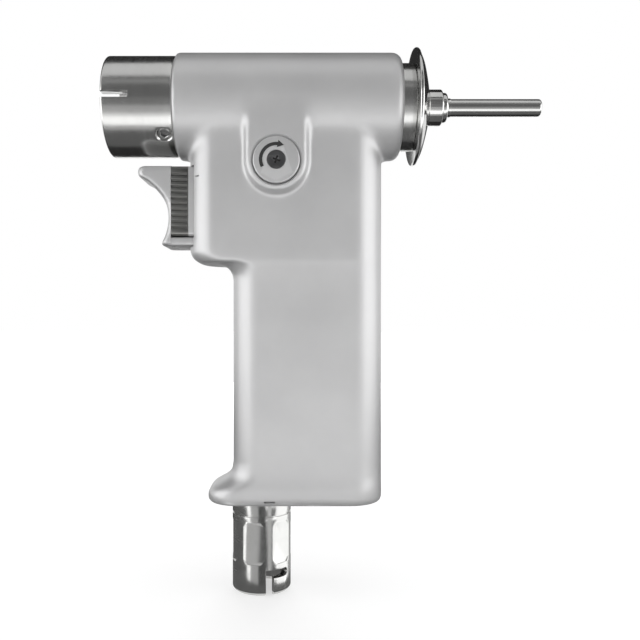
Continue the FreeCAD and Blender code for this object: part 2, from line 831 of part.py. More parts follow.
def trigger_stem():
    end = throttle_guide_end + 1.5
    body = turned([
        (stem_front, 0), (stem_front, stem_radius), (end - 0.4, stem_radius),
        (end, stem_radius - 0.4), (end, 0),
    ], z=trigger_z)
    return body.cut(torus("x", stem_seal_x, stem_radius, 0.45, z=trigger_z))


def stem_seal():
    ring = torus("x", stem_seal_x, stem_radius - 0.03, 0.4, z=trigger_z)
    return ring.common(cylinder("x", stem_seal_x - 2, 4, stem_radius + 0.02, z=trigger_z))


def throttle_valve():
    start = throttle_guide_end + 1.5
    head = throttle_seat + 1.1
    back = head + valve_head_length
    return turned([
        (start, 0), (start, valve_stem_radius), (head, valve_stem_radius), (head, valve_head_radius),
        (back, valve_head_radius), (back, valve_head_radius - 1.2), (back + 1.2, valve_head_radius - 1.2),
        (back + 1.2, 0),
    ], z=trigger_z)


def spring(start, end, radius, wire, turns):
    """A compression spring along the trigger axis, as round wire on a helix."""
    length = end - start - wire
    helix = Part.makeHelix(length / turns, length, radius)
    profile = Part.Wire(Part.Circle(V(radius, 0, 0), V(0, 1, 0), wire / 2).toShape())
    coil = Part.Wire(helix.Edges).makePipeShell([profile], True, True)
    coil.rotate(V(0, 0, 0), AXES["y"], 90)
    coil.translate(V(start + wire / 2, 0, trigger_z))
    return coil


def trigger_spring():
    return spring(trigger_spring_front + 0.1, throttle_front - 0.1, trigger_spring_radius,
                  trigger_spring_wire, trigger_spring_turns)


def valve_spring():
    start = throttle_seat + 1.1 + valve_head_length + 0.05
    return spring(start, throttle_end - 1.05, valve_spring_radius, valve_spring_wire, valve_spring_turns)


def trigger_finger():
    """The finger piece: a thick plate with a hollow front face and a foot that runs under the slide."""
    start = V(trigger_tip + 1.4, 0, trigger_top)
    nose_end = V(trigger_tip, 0, trigger_top - 1.9)
    nose_middle = V(trigger_tip + 0.25, 0, trigger_top - 0.75)
    points = [V(x, 0, z) for x, z in trigger_front]
    hollow = Part.BSplineCurve()
    hollow.interpolate(points)
    toe = V(points[-1].x + 0.9, 0, foot_bottom)
    back_top = V(trigger_back, 0, trigger_top)
    back_low = V(trigger_back, 0, foot_bottom)
    edges = [
        Part.LineSegment(back_top, start).toShape(), Part.Arc(start, nose_middle, nose_end).toShape(),
        Part.LineSegment(nose_end, points[0]).toShape(), hollow.toShape(),
        Part.LineSegment(points[-1], toe).toShape(), Part.LineSegment(toe, back_low).toShape(),
        Part.LineSegment(back_low, back_top).toShape(),
    ]
    side = Part.Face(Part.Wire(edges))
    side.translate(V(0, -trigger_half_width, 0))
    plate = side.extrude(V(0, 2 * trigger_half_width, 0))
    rounds = []
    for edge in plate.Edges:
        box = edge.BoundBox
        if box.YMax - box.YMin < 0.01 and box.XMin < trigger_back - 0.01 and box.ZMax > foot_bottom + 1:
            rounds.append(edge)
    plate = plate.makeFillet(trigger_round, rounds)
    foot = block(trigger_back - 1, foot_end, -foot_half_width, foot_half_width, foot_bottom, foot_top)
    lengthwise = []
    for edge in foot.Edges:
        box = edge.BoundBox
        if box.XMax - box.XMin > 5 and box.ZMax < foot_top - 1:
            lengthwise.append(edge)
    return plate.fuse(foot.makeFillet(0.8, lengthwise))


def trigger_slide():
    """The ribbed block that carries the finger piece and slides in the housing."""
    body = block(trigger_back, slide_end, -slide_half_width, slide_half_width, slide_bottom, slide_top)
    long_edges = [e for e in body.Edges if e.BoundBox.XMax - e.BoundBox.XMin > 5]
    body = body.makeFillet(slide_corner, long_edges)
    grooves = []
    count = int((slide_top - slide_bottom - 2 * slide_corner) / rib_pitch)
    middle = (slide_top + slide_bottom) / 2
    for i in range(count):
        z = middle + (i - (count - 1) / 2) * rib_pitch
        for side in (-1, 1):
            y = side * slide_half_width
            points = [
                V(trigger_back - 1, y - side * rib_depth, z),
                V(trigger_back - 1, y + side * 0.2, z - rib_half),
                V(trigger_back - 1, y + side * 0.2, z + rib_half),
            ]
            grooves.append(polygon_face(points).extrude(V(slide_end - trigger_back + 2, 0, 0)))
    holes = [
        cylinder("x", trigger_spring_front, 20, trigger_spring_radius + 0.9, z=trigger_z),
        cylinder("x", stem_front, 20, stem_radius + press_gap, z=trigger_z),
    ]
    return body.cut(grooves + holes)


def spool_sleeve():
    half = spool_sleeve_half
    body = tube("y", -half, 2 * half, spool_sleeve_radius, spool_radius + running_gap, x=pad_x, z=pad_z)
    reach = spool_sleeve_radius + 3
    ports = [cylinder("z", pad_z - reach, reach, sleeve_port_radius, x=spool_port_x)]
    for y in (-motor_port_y, motor_port_y):
        ports.append(cylinder("z", pad_z, reach, motor_port_radius, x=pad_x, y=y))
    return body.cut(ports)


def reversing_spool():
    """The spool between the two buttons, with two waists for the gas and two seal grooves."""
    near = -(pad_face + button_proud - button_depth)
    far = -near + button_travel
    body = turned([
        (near, 0), (near, spool_radius), (-4.6, spool_radius), (-4.6, spool_waist), (-1.6, spool_waist),
        (-1.6, spool_radius), (1.4, spool_radius), (1.4, spool_waist), (4.4, spool_waist),
        (4.4, spool_radius),
        (far, spool_radius), (far, 0),
    ], axis="y", x=pad_x, z=pad_z)
    cuts = []
    for y in (near, far - button_screw_length):
        cuts.append(cylinder("y", y, button_screw_length, button_screw_shank + press_gap, x=pad_x, z=pad_z))
    for y in (-spool_seal_y, spool_seal_y):
        cuts.append(torus("y", y, spool_radius, 0.5, x=pad_x, z=pad_z))
    return body.cut(cuts)


def spool_seals():
    keep = cylinder("y", -12, 24, spool_radius + 0.02, x=pad_x, z=pad_z)
    rings = []
    for y in (-spool_seal_y, spool_seal_y):
        rings.append(torus("y", y, spool_radius - 0.03, 0.44, x=pad_x, z=pad_z).common(keep))
    return joined(rings)


def arc_mark(side, outside):
    """A shallow curved mark around the screw, in place of lettering."""
    depth = arc_mark_depth
    start = outside - depth if side > 0 else outside - 1 + depth
    ring = tube("y", start, 1, arc_mark_outer, arc_mark_inner, x=pad_x, z=pad_z)
    points = [V(pad_x, outside - 3, pad_z)]
    for i in range(7):
        a = math.radians(arc_mark_start + arc_mark_sweep * i / 6)
        points.append(V(pad_x + 9 * math.cos(a), outside - 3, pad_z + 9 * math.sin(a)))
    return ring.common(polygon_face(points).extrude(V(0, 6, 0)))


def button_cap(side, outside):
    """A round button with a countersunk hole. outside is where its outer face is along Y."""
    inner = outside - side * button_depth
    body = turned([
        (inner, 0), (inner, button_radius), (outside - side * button_edge, button_radius),
        (outside - side * button_edge * 0.3, button_radius - button_edge * 0.3),
        (outside, button_radius - button_edge), (outside, 0),
    ], axis="y", x=pad_x, z=pad_z)
    sink = turned([
        (outside + side * 0.1, 0), (outside + side * 0.1, button_screw_head + 0.05),
        (outside - side * 0.25, button_screw_head + 0.05),
        (outside - side * 1.5, button_screw_shank + press_gap),
        (inner - side * 0.1, button_screw_shank + press_gap), (inner - side * 0.1, 0),
    ], axis="y", x=pad_x, z=pad_z)
    return body.cut([sink, arc_mark(side, outside)])


def button_screws():
    """The countersunk screws that hold the buttons on the spool."""
    screws = []
    for side, outside in ((-1, -pad_face - button_proud), (1, pad_face + button_proud + button_travel)):
        face = outside - side * 0.05
        end = outside - side * (button_depth + button_screw_length - 0.5)
        body = turned([
            (face, 0), (face, button_screw_head), (face - side * 0.2, button_screw_head),
            (face - side * 1.4, button_screw_shank), (end, button_screw_shank), (end, 0),
        ], axis="y", x=pad_x, z=pad_z)
        half = cross_recess / 2
        low = face - 1.0 if side > 0 else face - 0.5
        wide = block(pad_x - 1.7, pad_x + 1.7, low, low + 1.5, pad_z - half, pad_z + half)
        tall = block(pad_x - half, pad_x + half, low, low + 1.5, pad_z - 1.7, pad_z + 1.7)
        screws.append(body.cut(spin(wide.fuse(tall), 20, "y", x=pad_x, z=pad_z)))
    return joined(screws)


def wrench_cutters():
    """Flats milled across the coupling, each with a slope at both ends."""
    cutters = []
    near = coupling_radius - wrench_flat_depth
    for i in range(wrench_flats):
        points = [
            V(-12, -near, wrench_bottom), V(-12, -near, wrench_top),
            V(-12, -near - 3, wrench_top + 3 * wrench_slope),
            V(-12, -near - 3, wrench_bottom - 3 * wrench_slope),
        ]
        bar = polygon_face(points).extrude(V(24, 0, 0))
        cutters.append(moved(spin(bar, wrench_phase + 360 / wrench_flats * i, "z"), x=coupling_x))
    return cutters


def bayonet_cutters():
    """Two J-shaped slots that take the pins of the hose end."""
    half = bayonet_width / 2
    entry = block(-half, half, -12, -coupling_bore + 1.0, coupling_bottom - 1, bayonet_top)
    arc = tube("z", bayonet_top - bayonet_width, bayonet_width, 12, coupling_bore - 1)
    points = [V(0, 0, bayonet_top - bayonet_width)]
    for i in range(5):
        a = math.radians(-90 + bayonet_turn * i / 4)
        points.append(V(16 * math.cos(a), 16 * math.sin(a), bayonet_top - bayonet_width))
    hook = arc.common(polygon_face(points).extrude(V(0, 0, bayonet_width)))
    end = spin(cylinder("y", -12, 6, half, z=bayonet_top - half), bayonet_turn, "z")
    slot = moved(spin(entry.fuse([hook, end]), bayonet_angle, "z"), x=coupling_x)
    return [slot, spin(slot, 180, "z", x=coupling_x)]


def hose_coupling():
    """The bayonet socket for the gas hose, screwed into the foot of the grip."""
    bore_top = coupling_bottom + coupling_bore_length
    body = turned([
        (coupling_bottom, coupling_bore), (coupling_bottom, coupling_radius),
        (grip_bottom, coupling_radius), (grip_bottom, coupling_spigot_radius),
        (coupling_spigot_top, coupling_spigot_radius),
        (coupling_spigot_top, coupling_inner_bore), (coupling_shoulder_end, coupling_inner_bore),
        (coupling_shoulder_end, coupling_shoulder_bore), (bore_top, coupling_shoulder_bore),
        (bore_top, coupling_bore),
    ], axis="z", x=coupling_x)
    body = body.makeFillet(coupling_edge_round, circle_edges(body, "z", coupling_bottom, coupling_radius))
    body = body.makeChamfer(0.4, circle_edges(body, "z", coupling_bottom, coupling_bore))
    groove_start = coupling_groove_z - coupling_groove_width / 2
    cuts = [tube("z", groove_start, coupling_groove_width, coupling_radius + 1,
                 coupling_radius - coupling_groove_depth, x=coupling_x)]
    hole_start = coupling_shoulder_end - 1
    hole_length = coupling_spigot_top + 1 - hole_start
    for i in range(exhaust_hole_count):
        a = 2 * math.pi * i / exhaust_hole_count
        x = coupling_x + exhaust_hole_circle * math.cos(a)
        y = exhaust_hole_circle * math.sin(a)
        cuts.append(cylinder("z", hole_start, hole_length, exhaust_hole_radius, x=x, y=y))
    return body.cut(cuts + wrench_cutters() + bayonet_cutters())


def inlet_nipple():
    """The nipple that the hose end slides over."""
    return turned([
        (nipple_bottom, nipple_bore), (nipple_bottom, nipple_radius - 0.6),
        (nipple_bottom + 0.8, nipple_radius),
        (coupling_shoulder_end, nipple_radius),
        (coupling_shoulder_end, coupling_inner_bore - press_gap),
        (nipple_top, coupling_inner_bore - press_gap), (nipple_top, nipple_bore),
    ], axis="z", x=coupling_x)


def nipple_seal():
    return torus("z", nipple_seal_z, nipple_radius + 0.52, 0.5, x=coupling_x)


def inlet_filter():
    """A perforated disc that keeps dirt out of the valves."""
    body = cylinder("z", nipple_top, filter_thickness, coupling_inner_bore - press_gap, x=coupling_x)
    places = [(0, 0)]
    for i in range(6):
        a = math.pi / 3 * i
        places.append((filter_hole_circle * math.cos(a), filter_hole_circle * math.sin(a)))
    holes = []
    for x, y in places:
        holes.append(cylinder("z", nipple_top - 1, filter_thickness + 2, filter_hole_radius,
                              x=coupling_x + x, y=y))
    return body.cut(holes)


def supply_tube():
    return turned([
        (supply_bottom, supply_bore), (supply_bottom, coupling_inner_bore - press_gap),
        (supply_collar_top, coupling_inner_bore - press_gap), (supply_collar_top, supply_radius),
        (supply_top, supply_radius), (supply_top, supply_bore),
    ], axis="z", x=coupling_x)


def exhaust_muffler():
    length = muffler_top - muffler_bottom
    return tube("z", muffler_bottom, length, muffler_radius, muffler_bore, x=coupling_x)


def shapes():
    """Every named piece of the driver."""
    rotor_front = front_plate_x + 0.1
    rotor_rear = cap_front - rotor_race_width - 0.1
    near = -pad_face - button_proud
    far = pad_face + button_proud + button_travel
    return {
        "housing": housing(),
        "coupling_sleeve": coupling_sleeve(),
        "sleeve_set_screws": sleeve_set_screws(),
        "spindle_seal": spindle_seal(),
        "spindle_outer_race": outer_race(spindle_bearing, spindle_bearing_front),
        "spindle_balls": balls(spindle_bearing, spindle_bearing_front),
        "spindle_inner_race": inner_race(spindle_bearing, spindle_bearing_front),
        "spindle_bush": spindle_bush(),
        "output_spindle": output_spindle(),
        "planet_carrier": planet_carrier(),
        "planet_pins": planet_pins(),
        "planet_gear_1": planet_gear(0),
        "planet_gear_2": planet_gear(1),
        "planet_gear_3": planet_gear(2),
        "ring_gear": ring_gear(),
        "sun_pinion": sun_pinion(),
        "motor_front_plate": motor_front_plate(),
        "motor_cylinder": motor_cylinder(),
        "motor_rear_plate": motor_rear_plate(),
        "rotor_front_outer_race": outer_race(rotor_bearing, rotor_front),
        "rotor_front_balls": balls(rotor_bearing, rotor_front),
        "rotor_front_inner_race": inner_race(rotor_bearing, rotor_front),
        "rotor_rear_outer_race": outer_race(rotor_bearing, rotor_rear),
        "rotor_rear_balls": balls(rotor_bearing, rotor_rear),
        "rotor_rear_inner_race": inner_race(rotor_bearing, rotor_rear),
        "rotor": rotor(),
        "rotor_vanes": rotor_vanes(),
        "rotor_shaft": rotor_shaft(),
        "rear_cap": rear_cap(),
        "rear_cap_seal": rear_cap_seal(),
        "guard_flange": guard_flange(),
        "guard_nut": guard_nut(),
        "guard_hub": guard_hub(),
        "guard_tube": guard_tube(),
        "trigger_finger": trigger_finger(),
        "trigger_slide": trigger_slide(),
        "trigger_stem": trigger_stem(),
        "trigger_spring": trigger_spring(),
        "stem_seal": stem_seal(),
        "throttle_sleeve": throttle_sleeve(),
        "throttle_valve": throttle_valve(),
        "valve_spring": valve_spring(),
        "spool_sleeve": spool_sleeve(),
        "reversing_spool": reversing_spool(),
        "spool_seals": spool_seals(),
        "forward_button": button_cap(-1, near),
        "reverse_button": button_cap(1, far),
        "button_screws": button_screws(),
        "hose_coupling": hose_coupling(),
        "inlet_nipple": inlet_nipple(),
        "nipple_seal": nipple_seal(),
        "inlet_filter": inlet_filter(),
        "supply_tube": supply_tube(),
        "exhaust_muffler": exhaust_muffler(),
    }


def main():
    os.makedirs("parts", exist_ok=True)
    for name, shape in shapes().items():
        shape.exportStep("parts/" + name + ".step")
        print(name, shape.isValid(), len(shape.Solids), round(shape.Volume, 1))


main()
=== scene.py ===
# %% [markdown]
# # A surgical power drill with a pistol grip
# The drill is a gas motor in a cast grip, with a steel attachment sleeve in front, a rear cap with a hand
# guard and a wire tube, and a bayonet socket for the hose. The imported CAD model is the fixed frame. Each
# visible part is modelled again here at the same place and size, with the roundings and finishes that the
# real one has.

# %% Load the frame
import math

import bmesh
import bpy
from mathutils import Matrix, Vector


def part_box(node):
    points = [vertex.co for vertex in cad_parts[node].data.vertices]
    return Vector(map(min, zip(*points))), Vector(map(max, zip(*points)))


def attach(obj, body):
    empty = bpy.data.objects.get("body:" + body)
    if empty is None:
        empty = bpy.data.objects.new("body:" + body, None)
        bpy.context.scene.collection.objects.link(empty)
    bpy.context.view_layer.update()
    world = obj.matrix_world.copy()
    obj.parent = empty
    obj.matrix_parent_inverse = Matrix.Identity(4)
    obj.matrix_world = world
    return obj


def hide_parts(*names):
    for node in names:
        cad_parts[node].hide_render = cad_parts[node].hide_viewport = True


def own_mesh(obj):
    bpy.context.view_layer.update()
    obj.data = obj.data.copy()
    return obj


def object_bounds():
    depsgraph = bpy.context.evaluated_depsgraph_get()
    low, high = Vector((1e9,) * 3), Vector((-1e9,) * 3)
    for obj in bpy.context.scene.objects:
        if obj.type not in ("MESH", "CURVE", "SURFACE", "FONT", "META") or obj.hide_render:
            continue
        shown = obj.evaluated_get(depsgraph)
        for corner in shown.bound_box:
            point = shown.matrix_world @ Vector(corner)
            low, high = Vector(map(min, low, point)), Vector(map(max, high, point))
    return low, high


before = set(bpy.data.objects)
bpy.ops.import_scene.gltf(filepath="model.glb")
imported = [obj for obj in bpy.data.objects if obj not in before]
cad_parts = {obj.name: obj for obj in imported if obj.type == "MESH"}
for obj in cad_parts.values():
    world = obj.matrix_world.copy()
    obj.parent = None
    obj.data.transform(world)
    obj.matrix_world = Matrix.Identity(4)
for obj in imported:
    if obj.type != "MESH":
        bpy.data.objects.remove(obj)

mm = 0.001
cad_box = [list(corner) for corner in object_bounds()]
print("CAD box in metres:", cad_box)

# %% [markdown]
# ## Camera
# A close product view has visible perspective, so the camera stands where the photographer's did: about 23
# cm from the middle of the tool, level with the middle of the grip and looking straight across it. A slight
# shift frames the tool without turning the camera, which keeps upright edges upright.

# %% Camera
bpy.ops.object.select_all(action="DESELECT")
bpy.ops.object.camera_add(location=(58.3 * mm, -232.5 * mm, -65.7 * mm), rotation=(math.pi / 2, 0, 0))
camera = bpy.context.object
camera.name = "camera"
camera.data.sensor_width = 36
camera.data.lens = 42.19
camera.data.shift_x = 0.031
camera.data.clip_start = 0.01
bpy.context.scene.camera = camera
bpy.context.scene.view_settings.view_transform = "Standard"
print("camera at", tuple(round(v, 4) for v in camera.location))

# %% [markdown]
# ## Floor and daylight
# Finishes, floor and world are all built from shader nodes. These helpers add a node and fill in its
# sockets, so the steps that use them stay short.

# %% Node helpers
def new_node(tree, kind, **inputs):
    """Adds a shader node and sets its sockets by name."""
    made = tree.nodes.new(kind)
    for label, value in inputs.items():
        made.inputs[label.replace("_", " ")].default_value = value
    return made


def math_node(tree, operation, first, second):
    """A Math node. Each side is a number or an output to link."""
    made = tree.nodes.new("ShaderNodeMath")
    made.operation = operation
    for socket, value in zip(made.inputs, (first, second)):
        if isinstance(value, (int, float)):
            socket.default_value = value
        else:
            tree.links.new(value, socket)
    return made.outputs[0]


def looks_at_background(tree):
    """1 for camera, reflection and refraction rays, 0 for light on a surface."""
    path = tree.nodes.new("ShaderNodeLightPath")
    seen = math_node(tree, "MAXIMUM", path.outputs["Is Camera Ray"], path.outputs["Is Glossy Ray"])
    return math_node(tree, "MAXIMUM", seen, path.outputs["Is Transmission Ray"])


print("node helpers are ready")

# %% [markdown]
# The background is a white studio. The world is plain white where the camera or a reflection looks at it,
# and dimmer as a lamp, so that the body keeps its own grey.

# %% World
background_white = 1.0
world_lamp = 0.46

world = bpy.data.worlds.new("studio")
world.use_nodes = True
bpy.context.scene.world = world
backdrop = world.node_tree.nodes["Background"]
backdrop.inputs["Color"].default_value = (1, 1, 1, 1)
seen = looks_at_background(world.node_tree)
strength = math_node(world.node_tree, "MULTIPLY", seen, background_white - world_lamp)
strength = math_node(world.node_tree, "ADD", strength, world_lamp)
world.node_tree.links.new(strength, backdrop.inputs["Strength"])
print("world: white to the camera,", world_lamp, "as a lamp")

# %% [markdown]
# The floor is pale and catches the tool's soft shadow. For the camera it also glows, least around the hose
# socket, which takes it to the same white as the world behind it and leaves the shadow.

# %% Floor
floor_grey = 0.50
floor_glow = (0.57, 0.80)
glow_reach = (0.03, 0.40)
hose_x = 46.4

floor_height = cad_box[0][2]
bpy.ops.mesh.primitive_plane_add(size=8, location=(0.06, 1.0, floor_height))
floor = bpy.context.object
floor.name = "floor"
floor_finish = bpy.data.materials.new("pale_floor")
floor_finish.use_nodes = True
tree = floor_finish.node_tree
paper = tree.nodes["Principled BSDF"]
paper.inputs["Base Color"].default_value = (floor_grey, floor_grey, floor_grey, 1)
paper.inputs["Roughness"].default_value = 0.9
paper.inputs["Specular IOR Level"].default_value = 0.1
paper.inputs["Emission Color"].default_value = (1, 1, 1, 1)
from_socket = new_node(tree, "ShaderNodeVectorMath")
from_socket.operation = "DISTANCE"
from_socket.inputs[1].default_value = (hose_x * mm - floor.location.x, -floor.location.y, 0)
tree.links.new(tree.nodes.new("ShaderNodeTexCoord").outputs["Object"], from_socket.inputs[0])
glow = new_node(tree, "ShaderNodeMapRange", From_Min=glow_reach[0], From_Max=glow_reach[1],
                To_Min=floor_glow[0], To_Max=floor_glow[1])
tree.links.new(from_socket.outputs["Value"], glow.inputs["Value"])
seen_glow = math_node(tree, "MULTIPLY", looks_at_background(tree), glow.outputs["Result"])
tree.links.new(seen_glow, paper.inputs["Emission Strength"])
floor.data.materials.append(floor_finish)
print("floor at", round(floor_height, 4), "m")

# %% [markdown]
# ## Studio lamps
# Two tall softboxes stand to the left and right, so the rounded upright edges of the grip catch a bright
# line each. Fill lamps from the front, the back, from above and from low in front light the faces evenly.
# The fill lamps are kept out of reflections, because a polished part would show them as bright squares.

# %% Lamps
aim_point = Vector((62, 0, -60)) * mm


def softbox(name, place, size, power, in_reflections=False):
    """A rectangular area lamp that faces the tool."""
    spot = Vector(place) * mm
    bpy.ops.object.light_add(type="AREA", location=spot)
    lamp = bpy.context.object
    lamp.name = name
    lamp.rotation_euler = (aim_point - spot).to_track_quat("-Z", "Y").to_euler()
    lamp.data.shape = "RECTANGLE"
    lamp.data.size = size[0] * mm
    lamp.data.size_y = size[1] * mm
    lamp.data.energy = power
    lamp.visible_camera = False
    lamp.visible_glossy = in_reflections


softbox("softbox_left", (-322, -124, -75), (470, 440), 0.92, in_reflections=True)
softbox("softbox_right", (438, -124, -75), (470, 440), 0.98, in_reflections=True)
softbox("fill_front", (60, -700, -60), (600, 600), 2.05)
softbox("fill_back", (60, 700, 100), (600, 600), 3.6)
softbox("fill_top", (60, 20, 420), (600, 300), 0.25)
softbox("fill_low", (60, -330, -130), (600, 60), 0.45)
print("lamps placed:", len(bpy.data.lights))

# %% [markdown]
# ## Reflector cards
# Polished steel shows whatever stands around it, so as in a product studio white, grey and black cards
# stand around the tool. They are seen only in reflections and give no light. These run across the whole
# set, from the front over the top to the back and along the floor, and make the lengthways bands on the
# sleeve and the neck.

# %% Cards across the set
def card(name, low, high, brightness, reach=(-500, 620)):
    """A panel that glows only in reflections, between two lines across the set, each (y, z) in mm."""
    (low_y, low_z), (high_y, high_z) = low, high
    middle = Vector(((reach[0] + reach[1]) / 2, (low_y + high_y) / 2, (low_z + high_z) / 2)) * mm
    bpy.ops.mesh.primitive_plane_add(size=1, location=middle)
    panel = bpy.context.object
    panel.name = name
    panel.scale = ((reach[1] - reach[0]) * mm, math.hypot(high_y - low_y, high_z - low_z) * mm, 1)
    panel.rotation_euler = (math.atan2(high_z - low_z, high_y - low_y), 0, 0)
    paint = bpy.data.materials.new(name)
    paint.use_nodes = True
    paint.cycles.emission_sampling = "NONE"
    skin = paint.node_tree.nodes["Principled BSDF"]
    skin.inputs["Base Color"].default_value = (0, 0, 0, 1)
    skin.inputs["Specular IOR Level"].default_value = 0
    skin.inputs["Emission Color"].default_value = (1, 1, 1, 1)
    skin.inputs["Emission Strength"].default_value = brightness
    panel.data.materials.append(paint)
    panel.visible_camera = False
    panel.visible_diffuse = False
    panel.visible_transmission = False
    panel.visible_shadow = False
    return panel


front_reach = (-250, 370)
ground = floor_height / mm + 1
card("card_front_low", (-300, ground), (-300, -50), 0.50, front_reach)
card("card_front_level", (-300, -50), (-300, 40), 0.22, front_reach)
card("card_front", (-300, 40), (-300, 245), 0.15, front_reach)
card("card_front_high", (-300, 245), (-253, 297), 0.33)
card("card_gap", (-253, 297), (-207, 330), 0.12)
card("card_top", (-207, 330), (58, 386), 0.74)
card("card_back_top", (58, 386), (375, 107), 0.03)
card("card_floor_far", (-300, ground), (-225, ground), 0.95)
card("card_floor_white", (-225, ground), (-115, ground), 1.6)
card("card_floor_near", (-115, ground), (-75, ground), 0.5)
card("card_below", (-75, ground), (50, ground), 0.14)
card("card_under", (50, ground), (600, ground), 0.03)
print("cards stand on", round(ground, 1), "mm")

# %% [markdown]
# Other cards stand upright. A dark one behind the tool and two bright ones far left and right shade the
# ends of the sleeve and the tube. Small ones close to the hose socket draw its upright bands, because a
# narrow round part sees the room squeezed into a few lines.

# %% Upright cards
def upright(name, start, end, z_range, brightness):
    """An upright panel over the line between two points of the floor."""
    panel = card(name, (0, 0), (1, 0), brightness, (0, 1))
    run = Vector(end) - Vector(start)
    middle = (Vector(start) + Vector(end)) / 2
    panel.location = Vector((middle.x, middle.y, sum(z_range) / 2)) * mm
    panel.scale = (run.length * mm, (z_range[1] - z_range[0]) * mm, 1)
    panel.rotation_euler = (math.pi / 2, 0, math.atan2(run.y, run.x))


room = (ground, 500)
upright("card_back", (20, 375), (300, 375), (10, 107), 0.06)
upright("card_left", (-520, -60), (-520, 420), room, 0.90)
upright("card_right", (640, -60), (640, 420), room, 0.90)
grip_bottom = -120.6
low_room = (ground, grip_bottom - 1)
upright("socket_edge_left", (24, 14), (24, -15.5), low_room, 0.12)
upright("socket_line_left", (31, -15.5), (37, -15.5), low_room, 1.7)
upright("socket_grey_left", (37, -15.5), (44.6, -15.5), low_room, 0.50)
upright("socket_dark", (44.6, -15.5), (50.2, -15.5), low_room, 0.10)
upright("socket_grey_right", (52.0, -15.5), (56.5, -15.5), low_room, 0.6)
upright("socket_white_right", (62.5, -14), (62.5, 2), low_room, 1.5)
upright("socket_edge_right", (62.5, 2), (62.5, 16), low_room, 0.45)
print("upright cards between", room, "and", low_room)

# %% [markdown]
# ## Shared surface effects
# Three effects return in most finishes, so each is a node group that is built once. Fine grain is the
# blasted or cast skin. Turning marks are rings that a lathe leaves, so they change only along the axis of a
# turned part. Soft mottling is the uneven handling and cleaning that every used tool shows.

# %% Helpers for node groups
def new_group(name, inputs, outputs):
    """A shader node group. Inputs are names with first values, outputs are the names of numbers."""
    group = bpy.data.node_groups.new(name, "ShaderNodeTree")
    for label, value in inputs.items():
        kind = "NodeSocketVector" if isinstance(value, tuple) else "NodeSocketFloat"
        socket = group.interface.new_socket(name=label, in_out="INPUT", socket_type=kind)
        socket.default_value = value
    for label in outputs:
        group.interface.new_socket(name=label, in_out="OUTPUT", socket_type="NodeSocketFloat")
    return group, group.nodes.new("NodeGroupInput").outputs, group.nodes.new("NodeGroupOutput").inputs


def noise(group, place, scale, dimensions="3D", **settings):
    """A noise texture over a place, or in 1D over the distance along one axis."""
    made = new_node(group, "ShaderNodeTexNoise", **settings)
    made.noise_dimensions = dimensions
    group.links.new(place, made.inputs["W" if dimensions == "1D" else "Vector"])
    group.links.new(scale, made.inputs["Scale"])
    return made.outputs["Fac"]


print("helpers for node groups are ready")

# %% [markdown]
# Each group is built by its own function and then placed in many finishes. The scale is an input, because the
# grain of the casting is coarser than the rings on the polished steel.

# %% Grain, rings and mottling
def build_fine_grain():
    """Small even bumps: a height, and a tone around 0.5 for colour and roughness."""
    group, ins, outs = new_group("fine_grain", {"Vector": (0, 0, 0), "Scale": 2500.0}, ("Height", "Tone"))
    fine = noise(group, ins["Vector"], ins["Scale"], Detail=3.0, Roughness=0.6)
    coarse = noise(group, ins["Vector"], math_node(group, "MULTIPLY", ins["Scale"], 0.3), Detail=2.0)
    mixed = math_node(group, "ADD", fine, coarse)
    group.links.new(mixed, outs["Height"])
    group.links.new(math_node(group, "MULTIPLY", mixed, 0.5), outs["Tone"])
    return group


def build_turning_marks():
    """Rings along an axis: noise that reads only the coordinate on that axis."""
    group, ins, outs = new_group("turning_marks", {"Vector": (0, 0, 0), "Axis": (1, 0, 0), "Scale": 5000.0},
                                 ("Height", "Tone"))
    along = group.nodes.new("ShaderNodeVectorMath")
    along.operation = "DOT_PRODUCT"
    group.links.new(ins["Vector"], along.inputs[0])
    group.links.new(ins["Axis"], along.inputs[1])
    rings = noise(group, along.outputs["Value"], ins["Scale"], "1D", Detail=4.0, Roughness=0.7)
    broad_scale = math_node(group, "MULTIPLY", ins["Scale"], 0.12)
    broad = noise(group, along.outputs["Value"], broad_scale, "1D", Detail=1.0)
    group.links.new(rings, outs["Height"])
    group.links.new(broad, outs["Tone"])
    return group


def build_mottling():
    """Broad, faint clouds around 0.5."""
    group, ins, outs = new_group("mottling", {"Vector": (0, 0, 0), "Scale": 60.0}, ("Tone",))
    clouds = noise(group, ins["Vector"], ins["Scale"], Detail=5.0, Roughness=0.55)
    group.links.new(clouds, outs["Tone"])
    return group


fine_grain = build_fine_grain()
turning_marks = build_turning_marks()
mottling = build_mottling()
print("groups:", fine_grain.name, turning_marks.name, mottling.name)

# %% [markdown]
# ## Finishes
# A finish is a Principled shader whose colour, roughness and bump come from the shared groups, each with
# its own values. Raised edges get a lighter colour, partly rubbed wear and partly painted highlight, and
# hollows get painted shade, a much darker colour; the Pointiness of the mesh tells which is which. The
# helper below builds a whole finish from a few numbers, because the metals differ only in colour, polish
# and marks.

# %% Finish helper
# Pointiness above the first range gives lighter edges, part rubbed wear and part painted highlight; below the
# second range it gives painted shade in hollows.
wear_and_highlight_range = (0.52, 0.60)
painted_shade_range = (0.47, 0.40)


def place_group(tree, group, vector, **inputs):
    """Places a node group in a material with its own values."""
    made = tree.nodes.new("ShaderNodeGroup")
    made.node_tree = group
    tree.links.new(vector, made.inputs["Vector"])
    for label, value in inputs.items():
        made.inputs[label.replace("_", " ")].default_value = value
    return made


def spread(tree, value, low, high):
    """Maps a tone from 0.3..0.7 to low..high."""
    made = new_node(tree, "ShaderNodeMapRange", From_Min=0.3, From_Max=0.7, To_Min=low, To_Max=high)
    tree.links.new(value, made.inputs["Value"])
    return made.outputs["Result"]


